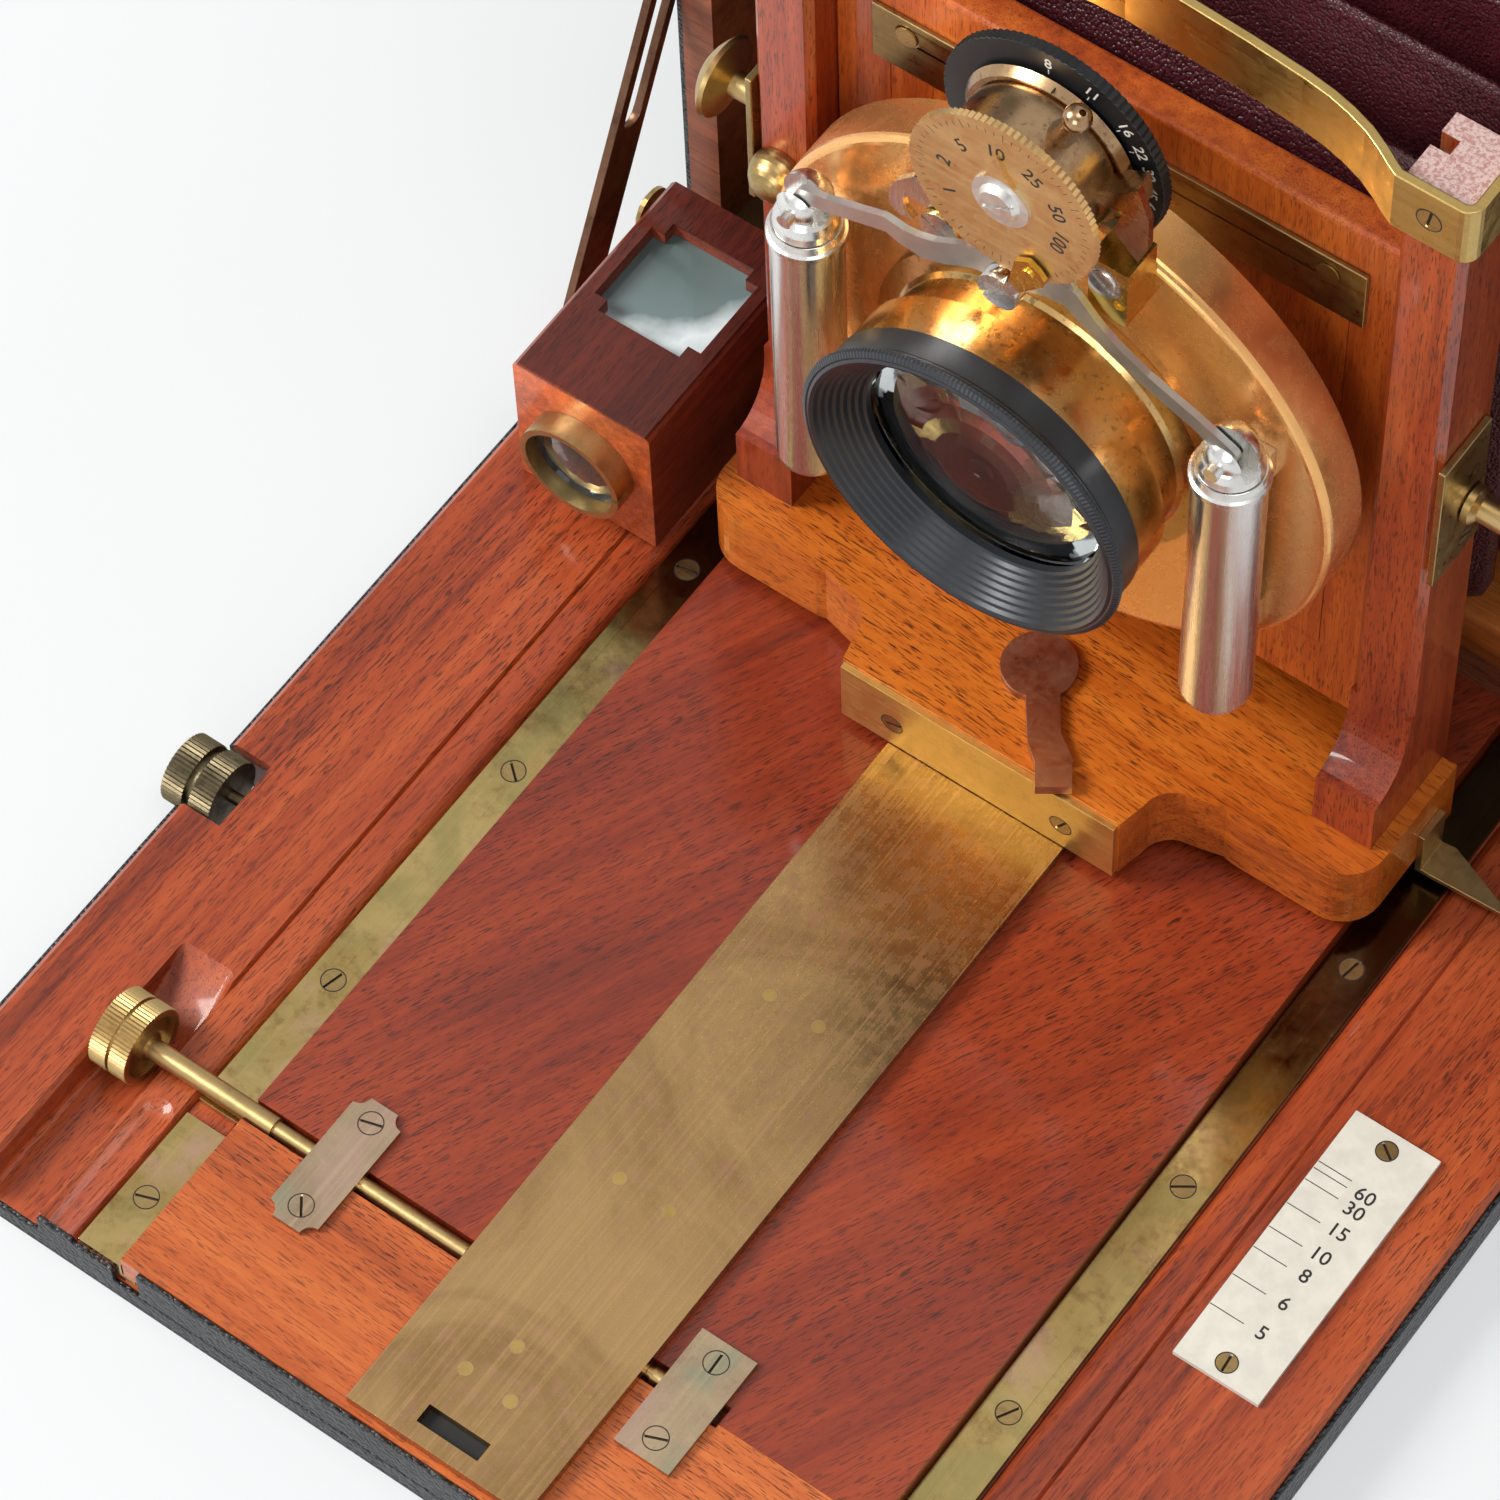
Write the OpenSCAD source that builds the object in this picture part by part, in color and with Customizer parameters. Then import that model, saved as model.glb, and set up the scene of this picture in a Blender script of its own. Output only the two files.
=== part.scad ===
// Folding-bed plate camera, opened out on its bed for a 5 x 7 inch plate.
// +Z is up, +X is right, and the lens looks along -Y. Z is 0 at the surface that it stands on.
// Values that end in _y are measured backwards from the front edge of the bed.

/* [Bed] */
// Width of the bed over its wood
bed_w = 236; // [224:1:280]
// Length of the bed from its front edge to the hinge line
bed_l = 236; // [228:1:280]
// Thickness of the leather covering
leather_t = 1; // [0.8:0.1:1.4]
// Thickness of the floor board
floor_t = 4.5; // [4:0.5:7]
// Thickness of the side boards above the floor board
side_t = 6.8; // [6.5:0.1:8]
// Distance between the centre lines of the two rails
rail_gauge = 146; // [140:1:150]
// Width of a rail
rail_w = 9.5; // [8.5:0.5:11]
// Distance between the rail screws
rail_screw_pitch = 53; // [46:1:54]

/* [Inner bed] */
// Thickness of the inner board
board_t = 8.7; // [8.2:0.1:10]
// Distance of the focusing rod from the front edge
rod_y = 36; // [30:1:44]
// Length of the front cleat
cleat_l = 34.5; // [34.2:0.1:36]
// Radius of the focusing knob
knob_r = 7.8; // [6:0.1:8]
// Distance of the edge wheel from the front edge
wheel_y = 86.5; // [82:0.5:120]
// Width of the track plate
track_w = 38.2; // [34:0.2:42]
// Thickness of the track plate
track_t = 2.2; // [2.2:0.1:3]

/* [Lens standard] */
// Distance of the base's brass front from the front edge of the bed
base_y = 160.4; // [140:0.2:168]
// Depth of the base from its brass front to its back
base_d = 45.6; // [45:0.2:52]
// Thickness of the base
base_t = 16.5; // [14:0.5:20]
// Width of the base over its rounded ends
base_w = 143; // [140:1:148]
// Clear width between the posts
post_gap = 112.6; // [112:0.2:118]
// Width of a post
post_w = 12.2; // [10:0.1:12.4]
// Depth of a post
post_d = 15; // [14:0.5:16]
// Height of the post tops
post_top = 212; // [206:1:220]
// Height of the brass yoke strip
yoke_h = 13; // [10:0.5:16]

/* [Shutter and lens] */
// Height of the lens axis
lens_z = 121; // [119:1:124]
// Radius of the shutter drum
drum_r = 56.3; // [54:0.1:56.4]
// Depth of the shutter drum
drum_d = 9.9; // [8:0.1:12]
// Outer radius of the lens hood
hood_r = 31.4; // [30:0.1:32]
// Radius of the glass opening in the hood
glass_r = 23.5; // [20:0.5:25]
// Height of the dial's axis above the lens axis
dial_rise = 70; // [69:0.5:71]
// Radius of the speed dial
dial_r = 17.3; // [15:0.1:18]
// Radius of the aperture scale
scale_r = 21.2; // [20:0.1:22]
// Distance of an air cylinder's axis from the lens axis
cyl_x = 42; // [42:0.1:43]
// Radius of an air cylinder
cyl_r = 6.4; // [6:0.1:7.2]

/* [Finder] */
// Width of the finder box
finder_w = 30.6; // [28:0.2:31]
// Length of the finder box
finder_l = 49.5; // [44:0.5:52]
// Height of the finder box
finder_h = 35; // [32:0.5:38]
// Radius of the finder's lens ring
finder_r = 11.1; // [9:0.1:12]

/* [Box] */
// Height of the box
box_h = 240; // [238:1:260]
// Depth of the box without its back
box_d = 115; // [105:1:140]
// Thickness of the wooden walls
wall_t = 7; // [6:0.5:9]
// Depth of the reversible back
back_d = 20; // [18:1:24]
// Width of the strut bars
strut_w = 9.5; // [8.5:0.5:11]

/* [Hidden] */

// Clearance between pieces that move on each other
gap = 0.3;
// Radial clearance of a pin in its hole
fit = 0.08;

// Heights of the layers of the bed
floor_z = leather_t + floor_t;
side_z = floor_z + side_t;
board_z = floor_z + gap;
board_top = board_z + board_t;
track_z = board_top + gap;
track_top = track_z + track_t;
base_z = track_top + gap;
base_top = base_z + base_t;

// Rails: a flat strip with a tongue that reaches into the edge of the inner board
rail_x = rail_gauge / 2;
rail_t = 1.5;
rail_in = rail_x - rail_w / 2;
rail_out = rail_x + rail_w / 2;
rail_top = side_z - 1;
rail_seat = rail_top - rail_t;
tongue_t = 1;
tongue_z = board_z + 1.4;
tongue_reach = 2.8;
board_x = rail_in - gap - 0.15;
rail_screw_y = 13.1;
quirk_x = rail_out + 8.85;
rail_screws = 5;
rail_end_y = bed_l - 1;

// Focusing rod, its pinion and the rack below the track plate
rod_z = board_top - 0.9;
rod_r = 1.5;
sleeve_r = 2;
rod_thin_r = 1.1;
rod_right_x = 33.8;
knob_x = -98;
knob_t = 8;
gear_teeth = 8;
gear_m = 0.5;
gear_r = gear_teeth * gear_m / 2;
gear_w = 7.4;
rack_band = gear_w + 1.2;
focus_travel = 60;
slot_half = sleeve_r + gap;

// Edge wheel, its pinion and the rack below the inner board
wheel_z = leather_t + 8;
wheel_r = 7;
wheel_x = -bed_w / 2 - 5.5;
wheel_t = 11;
wheel_shaft_r = 1.2;
wheel_m = 0.6;
wheel_gear_r = gear_teeth * wheel_m / 2;
wheel_rack_x = -board_x + 8;
wheel_rack_w = 5;
bed_travel = 80;
notch_half = wheel_r + 0.6;

// Standard
strip_t = 1.3;
strip_half = 29.5;
base_back_y = base_y + base_d;
post_y = base_y + 31.6;
post_back_y = post_y + post_d;
post_x = post_gap / 2;
panel_y = post_y + 7.3;
panel_t = 6;
panel_x = post_x - gap;
panel_low = base_top + 9.9;
panel_high = lens_z + 59.2;
cap_high = panel_high + 1.6;
stile_x = 45.3;
groove_y = panel_y + 0.2;
groove_w = 3.2;
groove_depth = 3.5;
yoke_t = 1.8;
yoke_z = post_top + 2 - yoke_h;
yoke_mid_y = post_y + 8.5;

// Shutter
drum_y = panel_y - 19.7;
drum_back_y = drum_y + drum_d;
hood_front_y = drum_y - 25.2;
hood_back_y = hood_front_y + 7.4;
barrel_r = hood_r - 0.8;
barrel_step_y = hood_back_y + 8.2;
neck_r = barrel_r - 2.1;
collar_r = hood_r + 1.6;
glass_y = hood_front_y + 6.8;
dial_z = lens_z + dial_rise;
dial_y = drum_y - 13.6;
dial_t = 1.4;
scale_t = 2.2;
scale_y = drum_y + 0.5;
scale_back_y = scale_y + scale_t;
turret_r = 14.2;
flange_r = 16.4;
stub_r = 4;
pivot_z = lens_z + 46;
link_y = drum_y - 11.6;
link_t = 1.3;
cyl_y = drum_y - 8.9;
cyl_low = lens_z - 39.8;
cyl_high = lens_z + 26;
clevis_z = lens_z + 31.2;
clevis_r = 4.8;

// Finder
finder_y = 172;
finder_x = -bed_w / 2 + 22.3;
finder_z = side_z + gap;
finder_wall = 3;
finder_top = finder_z + finder_h;
finder_ring_z = finder_z + 17.2;
finder_turn = 0.6;

// Box
hinge_y = bed_l + 0.5;
hinge_z = side_z;
box_w = bed_w + 2 * leather_t;
case_x = box_w / 2;
mouth_x = case_x - wall_t;
floor_in = leather_t + wall_t;
box_back_y = hinge_y + box_d;
back_end_y = box_back_y + back_d;
top_in = box_h - leather_t - wall_t;
opening_half = 91;
glass_mid_z = (floor_in + top_in) / 2;
sill_y = hinge_y + 5.5;
sill_half = base_w / 2 - 0.5;
strut_t = 1.8;
strut_x = case_x + leather_t + gap;
strut_pin_r = 2;
strut_low_y = bed_l - 37.5;
strut_low_z = leather_t + 7;
strut_reach = 110;
strut_high_y = hinge_y + 8.8;
strut_high_z = strut_low_z + sqrt(pow(strut_reach, 2) - pow(strut_high_y - strut_low_y, 2));
strut_angle = atan2(strut_high_z - strut_low_z, strut_high_y - strut_low_y);
catch_y = strut_low_y + 26.5;
catch_z = leather_t + 27;
track_front_y = 1.2;
front_y = -(back_end_y - leather_t) / 2;

// Points of an arc from angle a to angle b
function arc(x, y, r, a, b, n = 8) =
    [for (i = [0:n]) [x + r * cos(a + (b - a) * i / n), y + r * sin(a + (b - a) * i / n)]];

// Mirror image of a list of points in x, in reverse order
function mirrored(p) = [for (i = [len(p) - 1:-1:0]) [-p[i][0], p[i][1]]];

// Moves a sub-part from the bed's front edge to the part's own origin
module place() {
    translate([0, front_y, 0]) children();
}

// An outline in X and Z, run from y0 to y1
module along_y(y0, y1) {
    translate([0, y1, 0]) rotate([90, 0, 0]) linear_extrude(y1 - y0) children();
}

// An outline in Y and Z, run from x0 to x1
module along_x(x0, x1) {
    translate([x0, 0, 0]) rotate([90, 0, 90]) linear_extrude(x1 - x0) children();
}

// An outline of radius and depth, turned about an axis along Y
module turned_y(x, z) {
    translate([x, 0, z]) rotate([-90, 0, 0]) rotate_extrude($fn = 96) children();
}

// A round bar along Y
module bar_y(r, y0, y1) {
    translate([0, y0, 0]) rotate([-90, 0, 0]) cylinder(r = r, h = y1 - y0, $fn = 64);
}

// A round bar along X
module bar_x(r, x0, x1) {
    translate([x0, 0, 0]) rotate([0, 90, 0]) cylinder(r = r, h = x1 - x0, $fn = 48);
}

// A box between two corners
module block(a, b) {
    translate(a) cube(b - a);
}

// A disc with a milled edge, standing on its face
module milled_disc(r, t, teeth, depth = 0.3) {
    linear_extrude(t) polygon([for (i = [0:2 * teeth - 1])
        let (q = i % 2 == 0 ? r : r - depth)
        [q * cos(180 * i / teeth), q * sin(180 * i / teeth)]]);
}

// A countersunk screw with a slotted head, its face at z = 0 and its point down
module slot_screw(r = 2.2, length = 5, turn = 0) {
    difference() {
        union() {
            translate([0, 0, -r * 0.55]) cylinder(r1 = r * 0.5, r2 = r, h = r * 0.55, $fn = 32);
            translate([0, 0, -length]) cylinder(r = r * 0.5, h = length - r * 0.55, $fn = 24);
        }
        rotate([0, 0, turn]) translate([-r - 1, -0.25, -0.5]) cube([2 * r + 2, 0.5, 1]);
    }
}

// The hole for a countersunk screw whose face is at z = 0
module screw_sink(r = 2.2, length = 5) {
    translate([0, 0, -r * 0.55 - 0.05])
        cylinder(r1 = r * 0.5 + 0.05, r2 = r + 0.1, h = r * 0.55 + 0.06, $fn = 32);
    translate([0, 0, -length - 0.1]) cylinder(r = r * 0.5 + 0.05, h = length, $fn = 24);
}

// A pinion's outline, with one tooth pointing along +Y of its own plane
module pinion_outline(teeth, m) {
    r = teeth * m / 2;
    step = 360 / teeth;
    polygon([for (i = [0:teeth - 1]) for (q = [[-0.30, r - m], [-0.11, r + 0.8 * m],
        [0.11, r + 0.8 * m], [0.30, r - m]])
        [q[1] * sin((i + q[0]) * step), q[1] * cos((i + q[0]) * step)]]);
}

// A rack's outline with its teeth pointing down, and a gap over the zero point
module rack_outline(from, to, pitch_z, m, top_z) {
    p = PI * m;
    first = ceil(from / p - 0.5);
    last = floor(to / p - 0.5);
    polygon(concat([[from, top_z], [from, pitch_z + m]],
        [for (i = [first:last]) for (q = [[-0.36, 1], [-0.09, -0.75], [0.09, -0.75], [0.36, 1]])
            [(i + 0.5 + q[0]) * p, pitch_z + q[1] * m]],
        [[to, pitch_z + m], [to, top_z]]));
}

// Box

module box_case() {
    color("sienna") place() difference() {
        block([-case_x, hinge_y, leather_t], [case_x, box_back_y, box_h - leather_t]);
        block([-mouth_x, hinge_y - 1, floor_in], [mouth_x, box_back_y + 1, top_in]);
        latch_hole();
        strut_stud_holes();
    }
}

module latch_hole() {
    translate([0, latch_y, top_in - 1]) cylinder(r = latch_r + gap, h = wall_t + 2 + leather_t, $fn = 32);
}

module strut_stud_holes() {
    for (side = [-1, 1])
        translate([side * (case_x + leather_t + 1), strut_high_y, strut_high_z])
            rotate([0, -side * 90, 0])
            cylinder(r = strut_pin_r + 0.05, h = 7.1, $fn = 32);
}

module box_leather() {
    w = case_x + leather_t;
    color("dimgray") place() difference() {
        along_y(hinge_y, box_back_y) difference() {
            polygon(rounded_box_outline(w, 0, box_h, 4));
            translate([-case_x, leather_t]) square([2 * case_x, box_h - 2 * leather_t]);
        }
        latch_hole();
        strut_stud_holes();
    }
}

function rounded_box_outline(w, low, high, r) = concat(
    [[-w, low], [w, low]],
    [[w, high], [-w, high]]);

// Floor of the box, level with the track, with a moulded front edge
module box_floor() {
    r = 6;
    top = track_top;
    color("sienna") place() difference() {
        box_floor_blocks(r, top);
        hinge_recess();
    }
}

module box_floor_blocks(r, top) {
    union() {
        along_x(-sill_half, sill_half) polygon(concat(
            [[sill_y, floor_in]],
            arc(sill_y + r, top - r, r, 180, 90, 6),
            [[sill_y + 16, top], [sill_y + 16, top - 0.6], [box_back_y - 4, top - 0.6],
                [box_back_y - 4, floor_in]]));
        for (side = [0, 1]) mirror([side, 0, 0])
            block([sill_half, hinge_y + 1.2, floor_in], [mouth_x, box_back_y - 4, side_z]);
    }
}

latch_y = hinge_y + 5.5;
latch_r = 4;

module latch_button() {
    color("goldenrod") place() translate([0, latch_y, 0]) {
        translate([0, 0, top_in - 1.5]) cylinder(r = latch_r, h = wall_t + leather_t + 3, $fn = 32);
        translate([0, 0, top_in - 4]) cylinder(r = latch_r + 2.2, h = 2.5, $fn = 32);
    }
}

// Hinge leaves, strut studs, strap lugs and the leaf springs of the ground glass
module case_fittings() {
    color("goldenrod") place() {
        for (side = [-1, 1]) {
            hinge_leaf(side);
            strut_stud(side);
        }
        for (side = [-1, 1]) strap_lug(strap_mid_y + side * strap_half);
    }
}

leaf_x0 = bed_w / 2 - 24;
leaf_w = 18;
knuckle_r = 1.4;

// Box half of a bed hinge: a leaf and two knuckles with the pin
module hinge_leaf(side) {
    mirror([side > 0 ? 0 : 1, 0, 0]) {
        block([leaf_x0, hinge_y + knuckle_r + 0.6, hinge_z + 0.02],
            [leaf_x0 + leaf_w, hinge_y + 14, hinge_z + 1.1]);
        for (x = [leaf_x0, leaf_x0 + leaf_w - 6])
            block([x, hinge_y, hinge_z + 0.02], [x + 6, hinge_y + 4, hinge_z + 1.1]);
        translate([0, hinge_y, hinge_z]) {
            bar_x(knuckle_r, leaf_x0, leaf_x0 + 6);
            bar_x(knuckle_r, leaf_x0 + leaf_w - 6, leaf_x0 + leaf_w);
            bar_x(0.6, leaf_x0 + 1, leaf_x0 + leaf_w - 1);
        }
    }
}

// Bed half of a bed hinge: a leaf and the middle knuckle
module bed_hinge_leaf() {
    difference() {
        union() {
            block([leaf_x0 + 6 + gap, hinge_y - 12, hinge_z + 0.02],
                [leaf_x0 + leaf_w - 6 - gap, hinge_y, hinge_z + 1.1]);
            translate([0, hinge_y, hinge_z]) bar_x(knuckle_r, leaf_x0 + 6 + gap,
                leaf_x0 + leaf_w - 6 - gap);
        }
        translate([0, hinge_y, hinge_z]) bar_x(0.6 + fit, leaf_x0, leaf_x0 + leaf_w);
    }
}

// Room for the knuckles in the wood beside them
module hinge_recess() {
    for (side = [0, 1]) mirror([side, 0, 0])
        translate([0, hinge_y, hinge_z]) bar_x(knuckle_r + gap, leaf_x0 - gap, leaf_x0 + leaf_w + gap);
}

module strut_stud(side) {
    translate([side * (case_x - 5), strut_high_y, strut_high_z]) rotate([0, side * 90, 0]) {
        cylinder(r = strut_pin_r, h = 5 + leather_t + strut_t + 2 * gap, $fn = 32);
        translate([0, 0, 5 + leather_t + strut_t + 2 * gap]) cylinder(r = 4.2, h = 1.2, $fn = 32);
    }
}

strap_mid_y = hinge_y + box_d / 2;
strap_half = 38;

// A brass lug that holds one end of the carrying strap on top of the box
module strap_lug(y) {
    difference() {
        union() {
            block([-14, y - 7, box_h], [14, y + 7, box_h + 1.2]);
            block([-14, y - 3, box_h + 1.2], [-11.6, y + 3, box_h + 6]);
            block([11.6, y - 3, box_h + 1.2], [14, y + 3, box_h + 6]);
            translate([0, y, box_h + 4.5]) bar_x(1.1, -13, 13);
        }
        for (x = [-7, 7]) translate([x, y, box_h + 1.2]) screw_sink(1.6, 1);
    }
}

module handle_strap() {
    t = 2.6;
    r = 1.1 + gap;
    low = box_h + 4.5;
    color("black") place() along_x(-10.6, 10.6) difference() {
        polygon(concat(
            [for (i = [0:16]) let (u = -1 + i / 8)
                [strap_mid_y + u * (strap_half + 6), low + 3.4 + 5.5 * (1 - u * u)]],
            [for (i = [0:16]) let (u = 1 - i / 8)
                [strap_mid_y + u * (strap_half + 6), low + 3.4 - t - (abs(u) > 0.8 ? 2.4 : 0)
                    + 5.5 * (1 - u * u)]]));
        for (side = [-1, 1]) translate([strap_mid_y + side * strap_half, low]) circle(r = r, $fn = 32);
    }
}

// Back frame that holds the ground glass and takes the plate holder
module back_frame() {
    color("sienna") place() difference() {
        block([-case_x, box_back_y + 0.05, leather_t], [case_x, back_end_y, box_h - leather_t]);
        block([-opening_half, box_back_y - 1, glass_mid_z - opening_half],
            [opening_half, back_end_y + 1, glass_mid_z + opening_half]);
        block([-opening_half - 8, box_back_y + 5, glass_mid_z - opening_half - 8],
            [opening_half + 8, back_end_y + 1, glass_mid_z + opening_half + 8]);
    }
}

frame_half = opening_half + 7.5;
frame_y = box_back_y + 5.3;
frame_t = 6;

module glass_frame() {
    inner_x = 89;
    inner_z = 64;
    color("saddlebrown") place() translate([0, 0, glass_mid_z]) difference() {
        block([-frame_half, frame_y, -frame_half], [frame_half, frame_y + frame_t, frame_half]);
        block([-inner_x, frame_y - 1, -inner_z], [inner_x, frame_y + frame_t + 1, inner_z]);
        block([-inner_x - 3, frame_y + 2, -inner_z - 3], [inner_x + 3, frame_y + frame_t + 1,
            inner_z + 3]);
    }
}

module ground_glass() {
    color("lightgray") place() translate([0, 0, glass_mid_z])
        block([-91.8, frame_y + 2, -66.8], [91.8, frame_y + 4, 66.8]);
}

// Bowed leaf springs across the ground-glass frame
module glass_springs() {
    t = 0.8;
    bow = 3.2;
    y = frame_y + frame_t + 0.05;
    half = frame_half - 1;
    color("goldenrod") place() for (side = [-1, 1])
        translate([0, 0, glass_mid_z + side * 82]) linear_extrude(8, center = true) polygon(concat(
            [for (i = [0:12]) let (u = -1 + i / 6) [u * half, y + bow * u * u]],
            [for (i = [0:12]) let (u = 1 - i / 6) [u * half, y + t + bow * u * u]]));
}

// Bellows: a pleated, tapered tube from the lens panel to the back of the box

pleats = 12;
bellows_front_y = panel_y + panel_t + 0.4;
bellows_back_y = box_back_y - 0.3;
bellows_skin = 1.2;
fold = 8;

// Half width, top and bottom of the bellows' valleys, 0 at the lens panel and 1 at the back
function bellows_half(u) = 50 + (opening_half + 3 - 50) * u;
function bellows_top(u) = lens_z + 53 + (glass_mid_z + opening_half + 3 - lens_z - 53) * u;
function bellows_low(u) = lens_z - 70 + (glass_mid_z - opening_half - 3 - lens_z + 70) * u;

// One ring of the bellows with cut corners: valleys at even numbers and ridges at odd ones
function bellows_ring(i, inset) = let (
    u = i / (2 * pleats),
    d = (i % 2 == 0 ? 0 : fold) - inset,
    x = bellows_half(u) + d,
    top = bellows_top(u) + d,
    low = bellows_low(u) - d,
    c = 7 + d * 0.5,
    y = bellows_front_y + (bellows_back_y - bellows_front_y) * u)
    [[x - c, y, low], [x, y, low + c], [x, y, top - c], [x - c, y, top],
     [-x + c, y, top], [-x, y, top - c], [-x, y, low + c], [-x + c, y, low]];

module bellows() {
    rings = 2 * pleats + 1;
    outer = [for (i = [0:rings - 1]) for (p = bellows_ring(i, 0)) p];
    inner = [for (i = [0:rings - 1]) for (p = bellows_ring(i, bellows_skin)) p];
    n = 8;
    m = rings * n;
    color("maroon") place() polyhedron(
        points = concat(outer, inner),
        faces = concat(
            [for (i = [0:rings - 2]) for (k = [0:n - 1])
                [i * n + k, i * n + (k + 1) % n, (i + 1) * n + (k + 1) % n, (i + 1) * n + k]],
            [for (i = [0:rings - 2]) for (k = [0:n - 1])
                [m + i * n + k, m + (i + 1) * n + k, m + (i + 1) * n + (k + 1) % n,
                    m + i * n + (k + 1) % n]],
            [for (k = [0:n - 1]) [k, m + k, m + (k + 1) % n, (k + 1) % n]],
            [for (k = [0:n - 1]) let (e = (rings - 1) * n)
                [e + k, e + (k + 1) % n, m + e + (k + 1) % n, m + e + k]]),
        convexity = 10);
}

// Bed

module bed_floor() {
    color("sienna") place() difference() {
        block([-bed_w / 2, 0, leather_t], [bed_w / 2, bed_l, floor_z]);
        wheel_notch();
        translate([0, tripod_y, 0]) cylinder(r = tripod_r + 0.05, h = 20, $fn = 48);
        knob_channel();
    }
}

tripod_y = 120;
tripod_r = 9;

module wheel_notch() {
    block([-bed_w / 2 - 2 * leather_t - 1, wheel_y - notch_half, -1],
        [-bed_w / 2 + 9, wheel_y + notch_half, 30]);
}

channel_low = rod_z - knob_r - 0.9;
channel_r = 33;

// Section of the knob channel: X, and the height above its bottom
function channel_points() = let (
    left = knob_x - 0.3,
    right = knob_x + knob_t + 0.9,
    top = side_z - channel_low)
    concat(
        [[left - 1.9, 16], [left - 1.9, top + 0.02], [left - 1, top - 0.9]],
        arc(left, 1, 1, 180, 270, 4),
        arc(right, 2.5, 2.5, 270, 360, 5),
        [[max(right + 2.5, 0.02 - quirk_x), 16]]);

// Scooped way for the focusing knob, open at the front edge, with its rear end curving up
module knob_channel() {
    along_y(-2, rod_y) translate([0, channel_low]) polygon(channel_points());
    translate([0, rod_y, channel_low + channel_r]) rotate([0, 90, 0]) rotate_extrude($fn = 96)
        polygon([for (p = channel_points()) [channel_r - p[1], p[0]]]);
}

// Outline of a side board outside its quirk: flat top with a bevelled outer edge
module outer_outline() {
    polygon([[quirk_x, floor_z], [bed_w / 2, floor_z], [bed_w / 2, side_z - 1],
        [bed_w / 2 - 1, side_z], [quirk_x + 0.4, side_z], [quirk_x, side_z - 0.8]]);
}

// Outline of the rolled shoulder beside a rail, with the step that carries the rail
module shoulder_outline() {
    roll = 3;
    seat_in = rail_in + 1.6;
    polygon(concat(
        [[seat_in, floor_z], [quirk_x - 0.02, floor_z], [quirk_x - 0.02, side_z - 0.8],
            [quirk_x - 0.6, side_z - 0.3]],
        arc(rail_out + roll + 0.3, side_z - roll - 0.2, roll, 80, 180, 6),
        [[rail_out + 0.3, rail_seat], [seat_in, rail_seat]]));
}

module bed_side_right() {
    color("chocolate") place() difference() {
        along_y(0, bed_l) {
            outer_outline();
            shoulder_outline();
        }
        rail_screw_holes(1);
        strut_pin_holes();
        hinge_recess();
        for (y = scale_screw_ys) translate([scale_mid_x, y, side_z + scale_plate_t]) screw_sink(1.9, 5);
    }
}

module bed_side_left() {
    color("chocolate") place() difference() {
        mirror([1, 0, 0]) {
            along_y(0, bed_l) outer_outline();
            along_y(0, shoulder_y - 0.02) shoulder_outline();
            along_y(shoulder_y, bed_l) shoulder_outline();
        }
        rail_screw_holes(-1);
        strut_pin_holes();
        hinge_recess();
        wheel_notch();
        knob_channel();
        block([-quirk_x, -1, rod_z - sleeve_r - gap], [-rail_in, shoulder_y - 0.01, 30]);
        shoulder_flute();
        translate([0, wheel_y, wheel_z]) bar_x(wheel_shaft_r + fit, -bed_w / 2, -rail_in);
        translate([finder_x, finder_y + finder_l / 2, floor_z]) cylinder(r = 2 + fit, h = 10, $fn = 32);
    }
}

shoulder_y = rod_y + slot_half;

// Shallow flute in the lowered shoulder in front of the rod
module shoulder_flute() {
    r = 6;
    end = rod_y - 9.5;
    translate([-rail_out - 4.5, 0, rod_z - sleeve_r - gap + r - 1.2]) {
        bar_y(r, -1, end);
        translate([0, end, 0]) sphere(r = r, $fn = 64);
    }
}

module rail_screw_holes(side) {
    for (i = [0:rail_screws - 1])
        translate([side * rail_x, rail_screw_y + i * rail_screw_pitch, rail_top]) screw_sink(2.2, 5);
}

module strut_pin_holes() {
    for (side = [-1, 1]) translate([side * (bed_w / 2 - 6.1), strut_low_y, strut_low_z])
        rotate([0, side * 90, 0]) cylinder(r = strut_pin_r + 0.05, h = 10, $fn = 32);
}

// Leather under the bed and round its front and side edges
module bed_leather() {
    edge = side_z - 1.8;
    color("dimgray") place() difference() {
        union() {
            along_y(-leather_t, bed_l) polygon([[-bed_w / 2 - leather_t, leather_t], [0.2 - bed_w / 2, 0],
                [bed_w / 2 - 0.2, 0], [bed_w / 2 + leather_t, leather_t]]);
            for (side = [0, 1]) mirror([side, 0, 0])
                block([bed_w / 2 + 0.02, -leather_t, leather_t + 0.02],
                [bed_w / 2 + leather_t, bed_l, edge]);
            block([-bed_w / 2, -leather_t, leather_t + 0.02], [bed_w / 2, -0.02, edge]);
        }
        block([-board_x - 2, -5, floor_z - 0.3], [board_x + 2, 1, 30]);
        block([rail_in - 1, -5, rail_seat - 0.2], [rail_out + 1, 1, 30]);
        block([-rail_out - 1, -5, rail_seat - 0.2], [-rail_in + 1, 1, 30]);
        wheel_notch();
        knob_channel();
        translate([0, tripod_y, -1]) cylinder(r = tripod_r + 0.05, h = 20, $fn = 48);
        strut_pin_holes();
    }
}

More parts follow.
